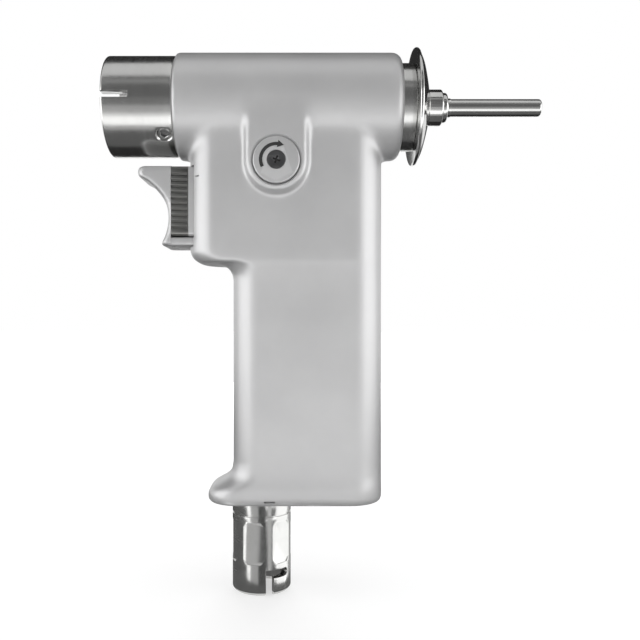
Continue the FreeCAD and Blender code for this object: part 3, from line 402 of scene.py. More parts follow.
def blend_colour(tree, amount, first, second):
    """Mixes two colours, each given as numbers or as an output to link."""
    made = tree.nodes.new("ShaderNodeMix")
    made.data_type = "RGBA"
    sockets = (made.inputs["Factor"], made.inputs[6], made.inputs[7])
    for socket, value in zip(sockets, (amount, first, second)):
        if isinstance(value, (int, float, tuple)):
            socket.default_value = value
        else:
            tree.links.new(value, socket)
    return made.outputs[2]


def finish(name, colour, dark, rough, metal=1.0, grain=2500.0, bump=0.1, turned=None, edge=0.0):
    """A finish from its clean and its darker colour, its roughness (low, high) and its lathe axis. Edge sets
    the lighter raised edges (rubbed wear and painted highlight) and the painted shade in hollows.
    """
    made = bpy.data.materials.new(name)
    made.use_nodes = True
    tree = made.node_tree
    skin = tree.nodes["Principled BSDF"]
    place = tree.nodes.new("ShaderNodeTexCoord").outputs["Object"]
    clouds = place_group(tree, mottling, place)
    tone = blend_colour(tree, spread(tree, clouds.outputs["Tone"], 0.0, 1.0), (*dark, 1), (*colour, 1))
    # Raised edges get a lighter colour (wear and painted highlight), and hollows a much darker one (painted
    # shade).
    if edge:
        pointed = tree.nodes.new("ShaderNodeNewGeometry").outputs["Pointiness"]
        wear_and_highlight = new_node(tree, "ShaderNodeMapRange", From_Min=wear_and_highlight_range[0], From_Max=wear_and_highlight_range[1],
                          To_Max=edge)
        tree.links.new(pointed, wear_and_highlight.inputs["Value"])
        bright = tuple(min(1.0, channel * 1.35) for channel in colour)
        tone = blend_colour(tree, wear_and_highlight.outputs["Result"], tone, (*bright, 1))
        hollow = new_node(tree, "ShaderNodeMapRange", From_Min=painted_shade_range[0], From_Max=painted_shade_range[1],
                          To_Max=edge)
        tree.links.new(pointed, hollow.inputs["Value"])
        # painted shade: hollows darkened to 0.45 of the darker tone
        painted_shade_colour = tuple(channel * 0.45 for channel in dark)
        tone = blend_colour(tree, hollow.outputs["Result"], tone, (*painted_shade_colour, 1))
    tree.links.new(tone, skin.inputs["Base Color"])
    skin.inputs["Metallic"].default_value = metal
    if turned:
        marks = place_group(tree, turning_marks, place, Axis=turned, Scale=grain)
    else:
        marks = place_group(tree, fine_grain, place, Scale=grain)
    mixed = math_node(tree, "ADD", clouds.outputs["Tone"], marks.outputs["Tone"])
    tree.links.new(spread(tree, math_node(tree, "MULTIPLY", mixed, 0.5), *rough), skin.inputs["Roughness"])
    relief = new_node(tree, "ShaderNodeBump", Strength=bump, Distance=0.02 * mm)
    tree.links.new(marks.outputs["Height"], relief.inputs["Height"])
    tree.links.new(relief.outputs["Normal"], skin.inputs["Normal"])
    return made


# the lighter edges are part rubbed wear, part painted highlight
print("edges rub bright above a pointiness of", wear_and_highlight_range[0])

# %% [markdown]
# The body is blasted aluminium with a satin skin: only partly mirror-like, with a fine even grain. The
# sleeve, the rear parts and the hose socket are polished steel with faint lathe rings around their own
# axis. The slide of the trigger is darker, and the seals, vanes and bushes inside keep the colours of
# rubber, resin and bronze.

# %% Finishes of this tool
steel = (0.66, 0.66, 0.65), (0.60, 0.60, 0.59)
body_satin = finish("satin_aluminium", (0.55, 0.55, 0.552), (0.51, 0.51, 0.514), (0.36, 0.44),
                    metal=0.50, grain=3200.0, bump=0.12, edge=0.35)
button_satin = finish("satin_button", (0.52, 0.52, 0.522), (0.48, 0.48, 0.484), (0.34, 0.43),
                      metal=0.50, grain=3000.0, bump=0.08, edge=0.35)
polish_x = finish("polished_steel_x", *steel, (0.17, 0.26),
                  grain=5200.0, bump=0.05, turned=(1, 0, 0), edge=0.5)
polish_z = finish("polished_steel_z", *steel, (0.20, 0.29),
                  grain=5200.0, bump=0.05, turned=(0, 0, 1), edge=0.5)
bright_x = finish("bright_steel_x", (0.68, 0.68, 0.67), (0.62, 0.62, 0.61), (0.09, 0.16),
                  grain=5200.0, bump=0.03, turned=(1, 0, 0), edge=0.5)
slide_steel = finish("dark_ribbed_steel", (0.26, 0.26, 0.25), (0.19, 0.19, 0.185), (0.26, 0.38),
                     grain=2600.0, bump=0.1, edge=0.6)
screw_steel = finish("dark_screw_steel", (0.24, 0.24, 0.245), (0.18, 0.18, 0.185), (0.25, 0.38),
                     grain=3000.0, bump=0.08, edge=0.6)
hard_steel = finish("ground_steel", (0.46, 0.46, 0.48), (0.38, 0.38, 0.40), (0.22, 0.34),
                    grain=4200.0, bump=0.06, turned=(1, 0, 0))
bronze = finish("machined_bronze", (0.55, 0.38, 0.20), (0.44, 0.30, 0.16), (0.28, 0.42), grain=3000.0)
rubber = finish("seal_rubber_black", (0.025, 0.025, 0.025), (0.018, 0.018, 0.018), (0.5, 0.65),
                metal=0.0, grain=1800.0, bump=0.15)
resin = finish("vane_resin", (0.33, 0.24, 0.15), (0.26, 0.19, 0.12), (0.45, 0.6),
               metal=0.0, grain=1500.0, bump=0.2)
# Black ink: real print on the button arrows, painted shade in the screw sockets and recesses.
ink_and_painted_shade = finish("black_ink_and_painted_shade", (0.02, 0.02, 0.02), (0.03, 0.03, 0.03), (0.4, 0.55), metal=0.0)
print("finishes:", len(bpy.data.materials))

# %% [markdown]
# ## Modelling helpers
# Work starts from a primitive at its size and place, then goes on in edit mode. With no mouse, faces and
# edges are picked by where they are. Every helper leaves all objects deselected before the next one starts,
# because an operator acts on all that is selected.

# %% Selecting and picking
def put_down():
    """Back to object mode with nothing selected."""
    if bpy.context.object and bpy.context.object.mode != "OBJECT":
        bpy.ops.object.mode_set(mode="OBJECT")
    bpy.ops.object.select_all(action="DESELECT")


def pick_up(piece):
    """Selects one piece alone and makes it active."""
    put_down()
    piece.select_set(True)
    bpy.context.view_layer.objects.active = piece


def name_new(name):
    """Names the new primitive and applies its place, turn and size to its mesh."""
    piece = bpy.context.object
    piece.name = name
    piece.data.name = name
    bpy.ops.object.transform_apply(location=True, rotation=True, scale=True)
    return piece


def edit(piece, action="DESELECT"):
    """Goes into edit mode with nothing, or with "SELECT" everything, selected."""
    pick_up(piece)
    bpy.ops.object.mode_set(mode="EDIT")
    bpy.ops.mesh.select_mode(type="VERT")
    bpy.ops.mesh.select_all(action=action)


def pick(piece, kind, test):
    """Selects what passes the test, which gets the middle in mm of a vert, edge or face, and the item."""
    bpy.ops.mesh.select_mode(type=kind)
    bpy.ops.mesh.select_all(action="DESELECT")
    mesh = bmesh.from_edit_mesh(piece.data)
    count = 0
    for item in {"VERT": mesh.verts, "EDGE": mesh.edges, "FACE": mesh.faces}[kind]:
        if kind == "VERT":
            middle = item.co
        else:
            middle = sum((v.co for v in item.verts), Vector()) / len(item.verts)
        if test(middle / mm, item):
            item.select_set(True)
            count += 1
    mesh.select_flush_mode()
    bmesh.update_edit_mesh(piece.data)
    return count


print("helpers for selecting are ready")

# %% [markdown]
# Modifiers do the machining: a Boolean saws and bores with a second shape as its tool, and a Bevel breaks
# every sharp edge, as a file does. Each is applied at once, so the next step works on real faces. Last, a
# piece is dressed: it gets smooth shading, its finish, and its place in the frame.

# %% Cutting, softening and dressing
def outside_out(piece):
    """Merges doubles and points all faces outwards."""
    edit(piece, "SELECT")
    bpy.ops.mesh.remove_doubles(threshold=0.002 * mm)
    bpy.ops.mesh.normals_make_consistent(inside=False)
    put_down()


def apply_modifier(piece, kind, **settings):
    """Adds a modifier with the given settings and applies it."""
    pick_up(piece)
    modifier = piece.modifiers.new(kind.title(), kind)
    for label, value in settings.items():
        setattr(modifier, label, value)
    bpy.ops.object.modifier_apply(modifier=modifier.name)


def cut(piece, *cutters, operation="DIFFERENCE"):
    """Takes the cutters away from the piece (or adds them) and throws the cutters away."""
    for cutter in cutters:
        apply_modifier(piece, "BOOLEAN", object=cutter, operation=operation, solver="EXACT")
        bpy.data.objects.remove(cutter)


def soften(piece, width, segments=2):
    """A small rounding on every sharp edge, so that each catches the light."""
    apply_modifier(piece, "BEVEL", width=width * mm, segments=segments, limit_method="ANGLE",
                   angle_limit=math.radians(40), harden_normals=False)


def dress(piece, body, nodes, main, second=None, where=None, angle=32):
    """Shades a piece, gives it a finish (and a second one where the test says) and a body, and hides its CAD
    nodes.
    """
    piece.data.materials.append(main)
    if second:
        piece.data.materials.append(second)
        edit(piece)
        print(second.name, "on faces:", pick(piece, "FACE", where))
        piece.active_material_index = 1
        bpy.ops.object.material_slot_assign()
    pick_up(piece)
    bpy.ops.object.shade_smooth_by_angle(angle=math.radians(angle))
    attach(piece, body)
    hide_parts(*nodes)
    put_down()
    print(piece.name, "faces:", len(piece.data.polygons))


# %% [markdown]
# Most parts are turned on a lathe. In Blender that is a circle that is extruded ring by ring: each step
# moves the new ring along the axis and resizes it. A tube starts from an open circle, and its last ring is
# bridged to its first one, so that the wall is closed. The arc helper gives the steps of a rounding.

# %% Turning
axes = {"x": Vector((1, 0, 0)), "y": Vector((0, 1, 0)), "z": Vector((0, 0, 1))}
axis_turns = {"x": (0, math.pi / 2, 0), "y": (-math.pi / 2, 0, 0), "z": (0, 0, 0)}


def arc(place, radius, size, start, end, steps=6):
    """Steps of a rounding: its middle is at (place, radius), and angles go from the axis outwards."""
    turns = [math.radians(start + (end - start) * i / steps) for i in range(steps + 1)]
    return [(place + size * math.cos(a), radius + size * math.sin(a)) for a in turns]


def turn(name, axis, steps, centre=(0, 0, 0), sides=128, hollow=False):
    """A turned solid: steps are (place along the axis, radius) in mm. A hollow one is bridged end to end."""
    put_down()
    along = axes[axis]
    across = Vector((1, 1, 1)) - along
    place, radius = steps[0]
    bpy.ops.mesh.primitive_circle_add(
        vertices=sides, radius=radius * mm, fill_type="NOTHING" if hollow else "NGON",
        location=(Vector(centre) + along * place) * mm, rotation=axis_turns[axis],
    )
    piece = name_new(name)
    edit(piece, "SELECT")
    for next_place, next_radius in steps[1:]:
        bpy.ops.mesh.extrude_region_move(
            TRANSFORM_OT_translate={"value": along * (next_place - place) * mm}
        )
        factor = next_radius / radius
        if abs(factor - 1) > 1e-6:
            bpy.ops.transform.resize(value=along + across * factor,
                                     center_override=(Vector(centre) + along * next_place) * mm)
        place, radius = next_place, next_radius
    if hollow:
        bpy.ops.mesh.select_all(action="DESELECT")
        bpy.ops.mesh.select_mode(type="EDGE")
        bpy.ops.mesh.select_non_manifold()
        bpy.ops.mesh.bridge_edge_loops()
    outside_out(piece)
    return piece


print("turning along", ", ".join(axes))

# %% [markdown]
# What is not round starts as a block. Rods bore the holes. A part that points up is turned about a point to
# its real place, a second one is a copy with its own mesh, and equal small parts are joined into one
# object.

# %% Blocks, rods and copies
def block(name, low, high):
    """A box between two corners in mm."""
    put_down()
    low, high = Vector(low), Vector(high)
    bpy.ops.mesh.primitive_cube_add(size=1, location=(low + high) / 2 * mm)
    bpy.context.object.scale = (high - low) * mm
    return name_new(name)


def rod(name, axis, start, length, radius, centre=(0, 0, 0), sides=64):
    """A plain cylinder, used as a cutter."""
    return turn(name, axis, [(start, radius), (start + length, radius)], centre, sides)


def turn_piece(piece, axis, degrees, centre):
    """Turns the whole mesh about a point, right-handed. Without a window the operator turns the other way."""
    edit(piece, "SELECT")
    bpy.ops.transform.rotate(value=-math.radians(degrees), orient_axis=axis.upper(),
                             center_override=Vector(centre) * mm)
    put_down()
    return piece


def twin(piece, name):
    """A copy with its own mesh."""
    pick_up(piece)
    bpy.ops.object.duplicate(linked=False)
    copy = bpy.context.object
    copy.name = name
    copy.data.name = name
    put_down()
    return copy


def merge(name, pieces):
    """Joins separate shells into one object."""
    put_down()
    for piece in pieces:
        piece.select_set(True)
    bpy.context.view_layer.objects.active = pieces[0]
    bpy.ops.object.join()
    whole = bpy.context.object
    whole.name = name
    put_down()
    return whole


print("helpers for blocks are ready")

# %% [markdown]
# ## Front sleeve
# The attachment sleeve is a thick polished tube. Its mouth is slotted on both sides for the drive dogs of
# the attachment, and two small screws hold it. It is turned as one wall, then the slots are sawn and the
# screw holes are bored, as in the workshop.

# %% Front sleeve
sleeve_bore, sleeve_radius = 11.0, 15.25
mouth_round, edge_break = 0.8, 0.3
barrel_front = 20.8
spigot_radius, spigot_end = 13.28, 28.6
seat_start, seat_radius = 14.5, 9.02
stop_front, stop_back, stop_radius = 21.2, 22.4, 7.4
slot_half, slot_end = 1.0, 8.1

sleeve = turn("sleeve_shell", "x", [
    (seat_start, sleeve_bore), (8.0, sleeve_bore), (edge_break, sleeve_bore), (0.0, sleeve_bore + edge_break),
    *arc(mouth_round, sleeve_radius - mouth_round, mouth_round, 180, 90),
    *[(place, sleeve_radius) for place in (3.0, 6.0, 9.0, 12.0, 15.0, barrel_front - 0.5)],
    (barrel_front, sleeve_radius - edge_break), (barrel_front, spigot_radius), (spigot_end, spigot_radius),
    (spigot_end, seat_radius), (stop_back, seat_radius), (stop_back, stop_radius), (stop_front, stop_radius),
    (stop_front, seat_radius), (seat_start, seat_radius),
], hollow=True, sides=160)
cut(sleeve, block("slot_cut", (-1, -20, -slot_half), (slot_end, 20, slot_half)))

# %% [markdown]
# The set screws stand in holes with a countersunk mouth. A hole is turned pointing up and then swung around
# the axis of the sleeve to its place, once near the camera and once on the far side.

# %% Screw holes
screw_place, screw_tilt = 18.0, 46.0
screw_angles = (90 + screw_tilt, 270 + screw_tilt)
hole_steps = [(13.4, 2.05), (14.75, 2.1), (15.35, 2.7), (18.0, 5.4)]
sleeve_axis = (0, 0, 0)

for degrees in screw_angles:
    hole = turn("screw_hole", "z", hole_steps, (screw_place, 0, 0), sides=48)
    cut(sleeve, turn_piece(hole, "x", degrees, sleeve_axis))
soften(sleeve, 0.12)
dress(sleeve, "housing", ["coupling_sleeve"], polish_x)

# %% [markdown]
# The set screws are short hexagon-socket screws that sit a little below the surface. One is turned, gets
# its socket from a six-sided cutter, and is copied to the far side. The socket is painted black with the
# ink finish, as painted shade for the dark of a deep narrow hole.

# %% Set screws
set_screw = turn("sleeve_screw_near", "z", [(9.1, 1.7), (9.4, 2.0), (14.3, 2.0), (14.6, 1.7)],
                 (screw_place, 0, 0), sides=48)
cut(set_screw, turn("key_socket", "z", [(11.8, 1.3), (14.4, 1.3), (14.8, 1.6)], (screw_place, 0, 0), sides=6))
set_screw_far = twin(set_screw, "sleeve_screw_far")
for piece, degrees in zip((set_screw, set_screw_far), screw_angles):
    turn_piece(piece, "x", degrees, sleeve_axis)
set_screws = merge("sleeve_screws", [set_screw, set_screw_far])
soften(set_screws, 0.06)


def in_key_socket(p, f):
    """Faces of the hexagon socket, found by their distance from the screw's own axis."""
    tilt = math.radians(screw_angles[0])
    off_axis = math.hypot(p.x - screw_place, p.y * math.cos(tilt) + p.z * math.sin(tilt))
    return 11.5 < math.hypot(p.y, p.z) < 14.5 and off_axis < 1.5


# the hexagon socket gets the black ink as painted shade
dress(set_screws, "housing", ["sleeve_set_screws"], polish_z, ink_and_painted_shade, in_key_socket)

# %% [markdown]
# ## Cast body
# Barrel, trigger block, grip and button pads are one casting with soft roundings between them. The shapes
# are roughed out as separate closed shells: the barrel is turned, the handle is a rounded outline extruded
# downwards ring by ring, and each pad is a disc pulled up into a U. A voxel remesh then melts them into one
# skin.

# %% Barrel shell
barrel_radius = 16.2
front_round, rear_round = 0.9, 2.8
barrel = turn("barrel", "x", [
    (barrel_front, barrel_radius - front_round),
    *arc(21.7, barrel_radius - front_round, front_round, 180, 90, 5)[1:],
    *arc(86.2, barrel_radius - rear_round, rear_round, 90, 0, 8),
])
print("barrel:", [round(v / mm, 2) for v in barrel.dimensions])

# %% [markdown]
# The handle's outline is a rounded rectangle. For each level below the barrel a step says how far forward
# the front stands and how wide the handle is: straight past the trigger, back under the block in a hollow
# curve, down the grip, and forward again in a short toe at the bottom.

# %% Handle levels
block_front, block_half, block_low, block_round = 24.9, 13.3, -44.4, 4.2
web_front, web_half, web_top, web_round = 33.0, 13.2, -48.65, 5.0
grip_front, grip_back, grip_half = 38.0, 83.0, 12.6
toe_steps = ((9.2, 0.5), (7.6, 1.6), (6.4, 3.2), (5.5, 5.0), (4.6, 6.4), (3.6, 7.3), (2.6, 7.65), (0, 7.7))

levels = [(-20.0, block_front, block_half), (block_low, block_front, block_half)]
for degrees in range(15, 91, 15):
    a = math.radians(degrees)
    levels.append((block_low - block_round * math.sin(a), block_front + block_round * (1 - math.cos(a)),
                   block_half - 0.08 * degrees / 90))
for degrees in range(0, 91, 15):
    a = math.radians(degrees)
    levels.append((web_top - web_round * (1 - math.cos(a)), web_front + web_round * math.sin(a),
                   web_half - 0.45 * degrees / 90))
levels += [(-58.0, grip_front, grip_half), (-108.6, grip_front, grip_half)]
for above, out in toe_steps:
    levels.append((grip_bottom + above, grip_front - out, grip_half + 0.55 * min(1, out / 6)))
print("levels of the handle:", len(levels))

# %% [markdown]
# The shell is one flat face with bevelled corners. Each step extrudes it down, resizes it, and moves its
# front half alone, so the back stays upright and the corner roundings keep their size.

# %% Handle shell
front_corner, back_corner, bottom_round = 9.5, 10.0, 1.6
handle_middle = (block_front + grip_back) / 2

put_down()
bpy.ops.mesh.primitive_plane_add(size=1, location=(handle_middle * mm, 0, 0))
bpy.context.object.scale = ((grip_back - block_front) * mm, 2 * block_half * mm, 1)
handle = name_new("handle")
edit(handle)
for corner, in_front in ((front_corner, True), (back_corner, False)):
    pick(handle, "VERT", lambda p, v: (p.x < handle_middle) == in_front)
    bpy.ops.mesh.bevel(offset=corner * mm, segments=10, affect="VERTICES")

height, front, half = 0.0, block_front, block_half
for next_height, next_front, next_half in levels:
    pick(handle, "FACE", lambda p, f: abs(p.z - height) < 0.01 and abs(f.normal.z) > 0.9)
    bpy.ops.mesh.extrude_region_move(TRANSFORM_OT_translate={"value": (0, 0, (next_height - height) * mm)})
    bpy.ops.transform.resize(value=(1, next_half / half, 1), center_override=(0, 0, next_height * mm))
    pick(handle, "VERT", lambda p, v: abs(p.z - next_height) < 0.01 and p.x < handle_middle)
    bpy.ops.transform.translate(value=((next_front - front) * mm, 0, 0))
    height, front, half = next_height, next_front, next_half
pick(handle, "EDGE", lambda p, e: all(abs(v.co.z / mm - grip_bottom) < 0.01 for v in e.verts))
bpy.ops.mesh.bevel(offset=bottom_round * mm, segments=5, affect="EDGES")
outside_out(handle)
print("handle:", [round(v / mm, 2) for v in handle.dimensions])

# %% [markdown]
# The pads around the two buttons rise from the sides with a hollow foot and a rounded rim, and run up into
# the barrel. A pad is turned about the button's axis with that profile. Then the upper half of every ring
# is flattened and pulled up, which makes the U outline.

# %% Button pads
pad_x, pad_z = 51.4, -19.4
button_axis = (pad_x, 0, pad_z)
pad_radius, pad_root, pad_face, pad_top = 9.05, 10.0, 16.1, -0.4
pad_foot_y, pad_foot_round, pad_rim_round = 12.75, 2.15, 0.7


def button_pad(name, side):
    """The shell of one pad, on the side -1 near the camera or 1 behind."""
    foot_radius = pad_radius + pad_foot_round
    steps = [(pad_root, foot_radius)]
    steps += arc(pad_foot_y + pad_foot_round, foot_radius, pad_foot_round, 180, 270, 8)
    steps += arc(pad_face - pad_rim_round, pad_radius - pad_rim_round, pad_rim_round, 90, 0, 5)
    pad = turn(name, "y", [(side * place, radius) for place, radius in steps], button_axis, sides=96)
    edit(pad)
    pick(pad, "VERT", lambda p, v: p.z > pad_z + 0.01)
    bpy.ops.transform.resize(value=(1, 1, 0), center_override=Vector(button_axis) * mm)
    bpy.ops.transform.translate(value=(0, 0, (pad_top - pad_z) * mm))
    outside_out(pad)
    return pad


pads = [button_pad("pad_near", -1), button_pad("pad_far", 1)]
print("pads:", len(pads))

# %% [markdown]
# The remesh turns the four shells into one skin of small even squares. Where barrel and handle meet, the
# skin is smoothed many times, which leaves the rolled hollow of a casting, and around the pads less often.
# Everywhere else a few passes only take the grid's faint steps away.

# %% One cast skin
voxel = 0.56
mean_corner = 9.7
shell = merge("cast_body", [barrel, handle] + pads)
apply_modifier(shell, "REMESH", mode="VOXEL", voxel_size=voxel * mm)
print("remeshed faces:", len(shell.data.polygons))


def handle_distance(x, y):
    """How far a point is from the outline of the trigger block, in mm."""
    out_x = abs(x - handle_middle) - (grip_back - block_front) / 2 + mean_corner
    out_y = abs(y) - block_half + mean_corner
    outside = math.hypot(max(out_x, 0), max(out_y, 0)) + min(max(out_x, out_y), 0)
    return abs(outside - mean_corner)


def near_junction(p, v, reach):
    """Points near the line where the handle runs into the barrel."""
    on_barrel = abs(math.hypot(p.y, p.z) - barrel_radius)
    return p.z < -3 and on_barrel < reach and handle_distance(p.x, p.y) < reach


def near_pad_edge(p, v):
    """Points on the hollow foot and the rim of a pad."""
    sideways = math.hypot(p.x - pad_x, min(0, p.z - pad_z))
    return abs(p.y) > 12 and p.z < pad_top and 7.5 < sideways < 12.8


edit(shell)
for reach, passes in ((3.0, 14), (2.0, 14)):
    found = pick(shell, "VERT", lambda p, v: near_junction(p, v, reach))
    bpy.ops.mesh.vertices_smooth(factor=0.5, repeat=passes)
print("smoothed at the junction:", found)
print("softened around the pads:", pick(shell, "VERT", near_pad_edge))
bpy.ops.mesh.vertices_smooth(factor=0.5, repeat=9)
bpy.ops.mesh.select_all(action="SELECT")
bpy.ops.mesh.vertices_smooth(factor=0.5, repeat=4)
put_down()

# %% [markdown]
# The openings are machined into the casting afterwards, so they are cut into the finished skin and keep
# crisp edges: the barrel bore, the pocket the trigger slides in, the two button seats with a bevelled
# mouth, the valve bores behind them, the hollow of the grip and the thread for the hose socket.

# %% Machined openings
barrel_bore, valve_bore, chamber_bore, supply_bore, hose_thread = 13.3, 5.02, 6.4, 2.62, 7.42
trigger_axis, grip_axis = (0, 0, -30.0), (hose_x, 0, 0)
button_bore, button_floor = 7.05, 10.3
mouth_start, mouth_bevel = pad_face - 0.55, 1.55
cuts = [
    rod("bore_cut", "x", 19.0, 72.0, barrel_bore, sides=160),
    block("pocket_cut", (22.9, -9.25, -40.95), (38.6, 9.25, -19.45)),
    block("foot_cut", (22.9, -8.85, -43.75), (36.1, 8.85, -40.7)),
    rod("throttle_cut", "x", 37.6, 26.0, valve_bore, trigger_axis),
    rod("spool_cut", "y", -12, 24, valve_bore, button_axis),
    rod("thread_cut", "z", grip_bottom - 2, 11.1, hose_thread, grip_axis),
    rod("chamber_cut", "z", -111.6, 57.6, chamber_bore, grip_axis),
    rod("supply_cut", "z", -55.0, 6.5, supply_bore, grip_axis),
    block("mark_cut", (26.9, -14.0, -23.33), (28.4, -9.9, -22.85)),
    block("key_cut", (47.7, -14.0, -119.4), (50.9, -11.6, -118.8)),
]
for side in (-1, 1):
    mouth = [(button_floor, button_bore), (mouth_start, button_bore),
             (mouth_start + mouth_bevel, button_bore + mouth_bevel)]
    cuts.append(turn("seat_cut", "y", [(side * place, radius) for place, radius in mouth], button_axis))
cut(shell, *cuts)
dress(shell, "housing", ["housing"], body_satin, angle=38)

# %% [markdown]
# ## Trigger
# The finger piece is a thick plate whose front is hollowed for a fingertip. Its front line is a smooth
# curve through measured points. Three plates of rising width are sliced into levels, each level's front
# edge is moved onto the curve, and the wider plates stand back a little, so together they make a crowned
# shape.

# %% Front line of the finger piece
def smooth_line(points, pieces):
    """Points on a smooth curve through the given ones."""
    line = []
    for i in range(len(points) - 1):
        before = points[max(i - 1, 0)]
        after = points[min(i + 2, len(points) - 1)]
        for step in range(pieces):
            t = step / pieces
            line.append(tuple(
                0.5 * (2 * p + (q - o) * t + (2 * o - 5 * p + 4 * q - r) * t * t
                       + (3 * p - o - 3 * q + r) * t ** 3)
                for o, p, q, r in zip(before, points[i], points[i + 1], after)
            ))
    return line + [points[-1]]


trigger_tip, trigger_middle = 9.4, -31.5
nose = [(10.8, -19.4), (10.1, -19.72), (9.65, -20.15), (9.45, -20.7), (trigger_tip, -21.3), (9.45, -22.0)]
hollow = smooth_line([
    (9.75, -22.6), (12.5, -24.1), (15.5, -27.0), (17.5, -29.8), (18.4, -32.4), (18.65, -35.0), (18.5, -37.0),
    (17.9, -39.6), (17.3, -41.2), (16.5, -42.7),
], 3)
front_line = nose + hollow + [(16.6, -43.1), (17.2, -43.5)]
print("points on the front line:", len(front_line))

# %% [markdown]
# A fine remesh melts the three plates together, and many rounds of smoothing roll all their edges, as
# polishing does. The back is then cut flat again, and the flat foot that slides under the block is added.

# %% Finger piece
trigger_half, trigger_back, blank_back = 9.0, 19.7, 23.0
finger_plates = ((7.4, 0), (8.4, 0.5), (trigger_half, 1.3))
foot_half, foot_low, foot_top = 8.6, -43.4, -40.95


def finger_plate(half, inset):
    """One plate of the finger piece, its front set back a little."""
    line = [(x + inset, trigger_middle + (z - trigger_middle) * (1 - 0.03 * inset)) for x, z in front_line]
    plate = block("finger_plate", (trigger_tip, -half, line[-1][1]), (blank_back, half, line[0][1]))
    edit(plate)
    for x, z in line[1:-1]:
        bpy.ops.mesh.select_all(action="SELECT")
        bpy.ops.mesh.bisect(plane_co=(0, 0, z * mm), plane_no=(0, 0, 1))
    for x, z in line:
        pick(plate, "VERT", lambda p, v: abs(p.z - z) < 0.01 and abs(p.x - trigger_tip) < 0.01)
        bpy.ops.transform.translate(value=((x - trigger_tip) * mm, 0, 0))
    put_down()
    return plate


finger = merge("finger_piece", [finger_plate(half, inset) for half, inset in finger_plates])
apply_modifier(finger, "REMESH", mode="VOXEL", voxel_size=0.26 * mm)
edit(finger, "SELECT")
bpy.ops.mesh.vertices_smooth(factor=0.5, repeat=26)
cut(finger, block("back_cut", (trigger_back, -12, -50), (30, 12, -10)))
foot = block("foot", (18.7, -foot_half, foot_low), (31.5, foot_half, foot_top))
soften(foot, 0.6, 3)
cut(finger, foot, operation="UNION")
dress(finger, "trigger", ["trigger_finger"], button_satin, angle=40)

# %% [markdown]
# Behind the finger piece sits the steel slide. V grooves are milled along both of its sides, so the row of
# ribs shows as fine dark lines, and stop short of the body, where a plain light strip is left. One groove
# cutter is a four-sided rod, repeated up both sides.

# %% Ribbed slide
slide_half, slide_low, slide_high, slide_back = 9.0, -40.7, -19.7, 34.0
rib_pitch, rib_count, rib_end = 1.75, 10, 24.6
groove_radius = 0.65
strip_start = rib_end + 0.35
spring_bore, stem_bore = 4.3, 2.52

slide = block("ribbed_slide", (trigger_back, -slide_half, slide_low), (slide_back, slide_half, slide_high))
edit(slide)
pick(slide, "EDGE", lambda p, e: abs(e.verts[0].co.x - e.verts[1].co.x) > 5 * mm)
bpy.ops.mesh.bevel(offset=1.2 * mm, segments=5, affect="EDGES")
grooves = []
for index in range(rib_count):
    level = (slide_low + slide_high) / 2 + (index - (rib_count - 1) / 2) * rib_pitch
    for side in (-1, 1):
        grooves.append(turn("groove", "x", [(trigger_back - 1, groove_radius), (rib_end, groove_radius)],
                            (0, side * (slide_half + 0.2), level), sides=4))
cut(slide, merge("grooves", grooves), rod("spring_cut", "x", 24.3, 12, spring_bore, trigger_axis),
    rod("stem_cut", "x", 23.0, 13, stem_bore, trigger_axis))
soften(slide, 0.08)
edit(slide, "SELECT")
bpy.ops.mesh.bisect(plane_co=(strip_start * mm, 0, 0), plane_no=(1, 0, 0))
dress(slide, "trigger", ["trigger_slide"], slide_steel, button_satin,
      lambda p, f: p.x > strip_start and abs(p.y) > slide_half - 1.3, angle=28)

# %% [markdown]
# ## Reversing buttons
# A round cap on each side pushes a valve across the body. The cap has a rounded rim, a countersunk hole and
# a shallow curved arrow around it that shows the turning direction. The arrow's band is a small square spun
# around the middle and its head is a three-sided prism. Both are sunk into the face and filled with black
# ink.

# %% Arrow cutters
near_face, far_face = -16.6, 21.1
mark_inner, mark_outer, mark_depth = 3.75, 5.25, 0.15
mark_start, mark_sweep, mark_head = 65.0, 142.0, 12.0


def arrow_cutters(face):
    """The curved band and the head of the arrow, as solids that reach just into the face."""
    put_down()
    middle = (mark_inner + mark_outer) / 2
    face_middle = (pad_x, face, pad_z)
    bpy.ops.mesh.primitive_cube_add(size=1, location=((pad_x + middle) * mm, face * mm, pad_z * mm))
    bpy.context.object.scale = ((mark_outer - mark_inner - 0.5) * mm, 2 * mark_depth * mm, 0.05 * mm)
    band = name_new("arrow_band")
    edit(band)
    pick(band, "FACE", lambda p, f: f.normal.z > 0.9)
    bpy.ops.mesh.spin(steps=36, angle=math.radians(mark_sweep - mark_head),
                      center=(pad_x * mm, face * mm, pad_z * mm), axis=(0, 1, 0))
    turn_piece(band, "y", -mark_start - mark_head, face_middle)
    outside_out(band)
    head = turn("arrow_head", "y", [(face - mark_depth, 1.25), (face + mark_depth, 1.25)],
                (pad_x + middle, 0, pad_z), sides=3)
    turn_piece(head, "y", -mark_start - mark_head, face_middle)
    return [band, head]


print("faces of the buttons at", near_face, "and", far_face, "mm")

# %% [markdown]
# Each cap is turned from its inner end to its face, and the rim is rounded in five steps. The countersink
# is a turned cutter too. Only the floor of the arrow takes the ink, found by its depth
# below the face.

# %% Button caps
button_radius, button_depth, rim_round = 6.85, 6.0, 0.5
sink_radius, screw_hole = 2.8, 1.27


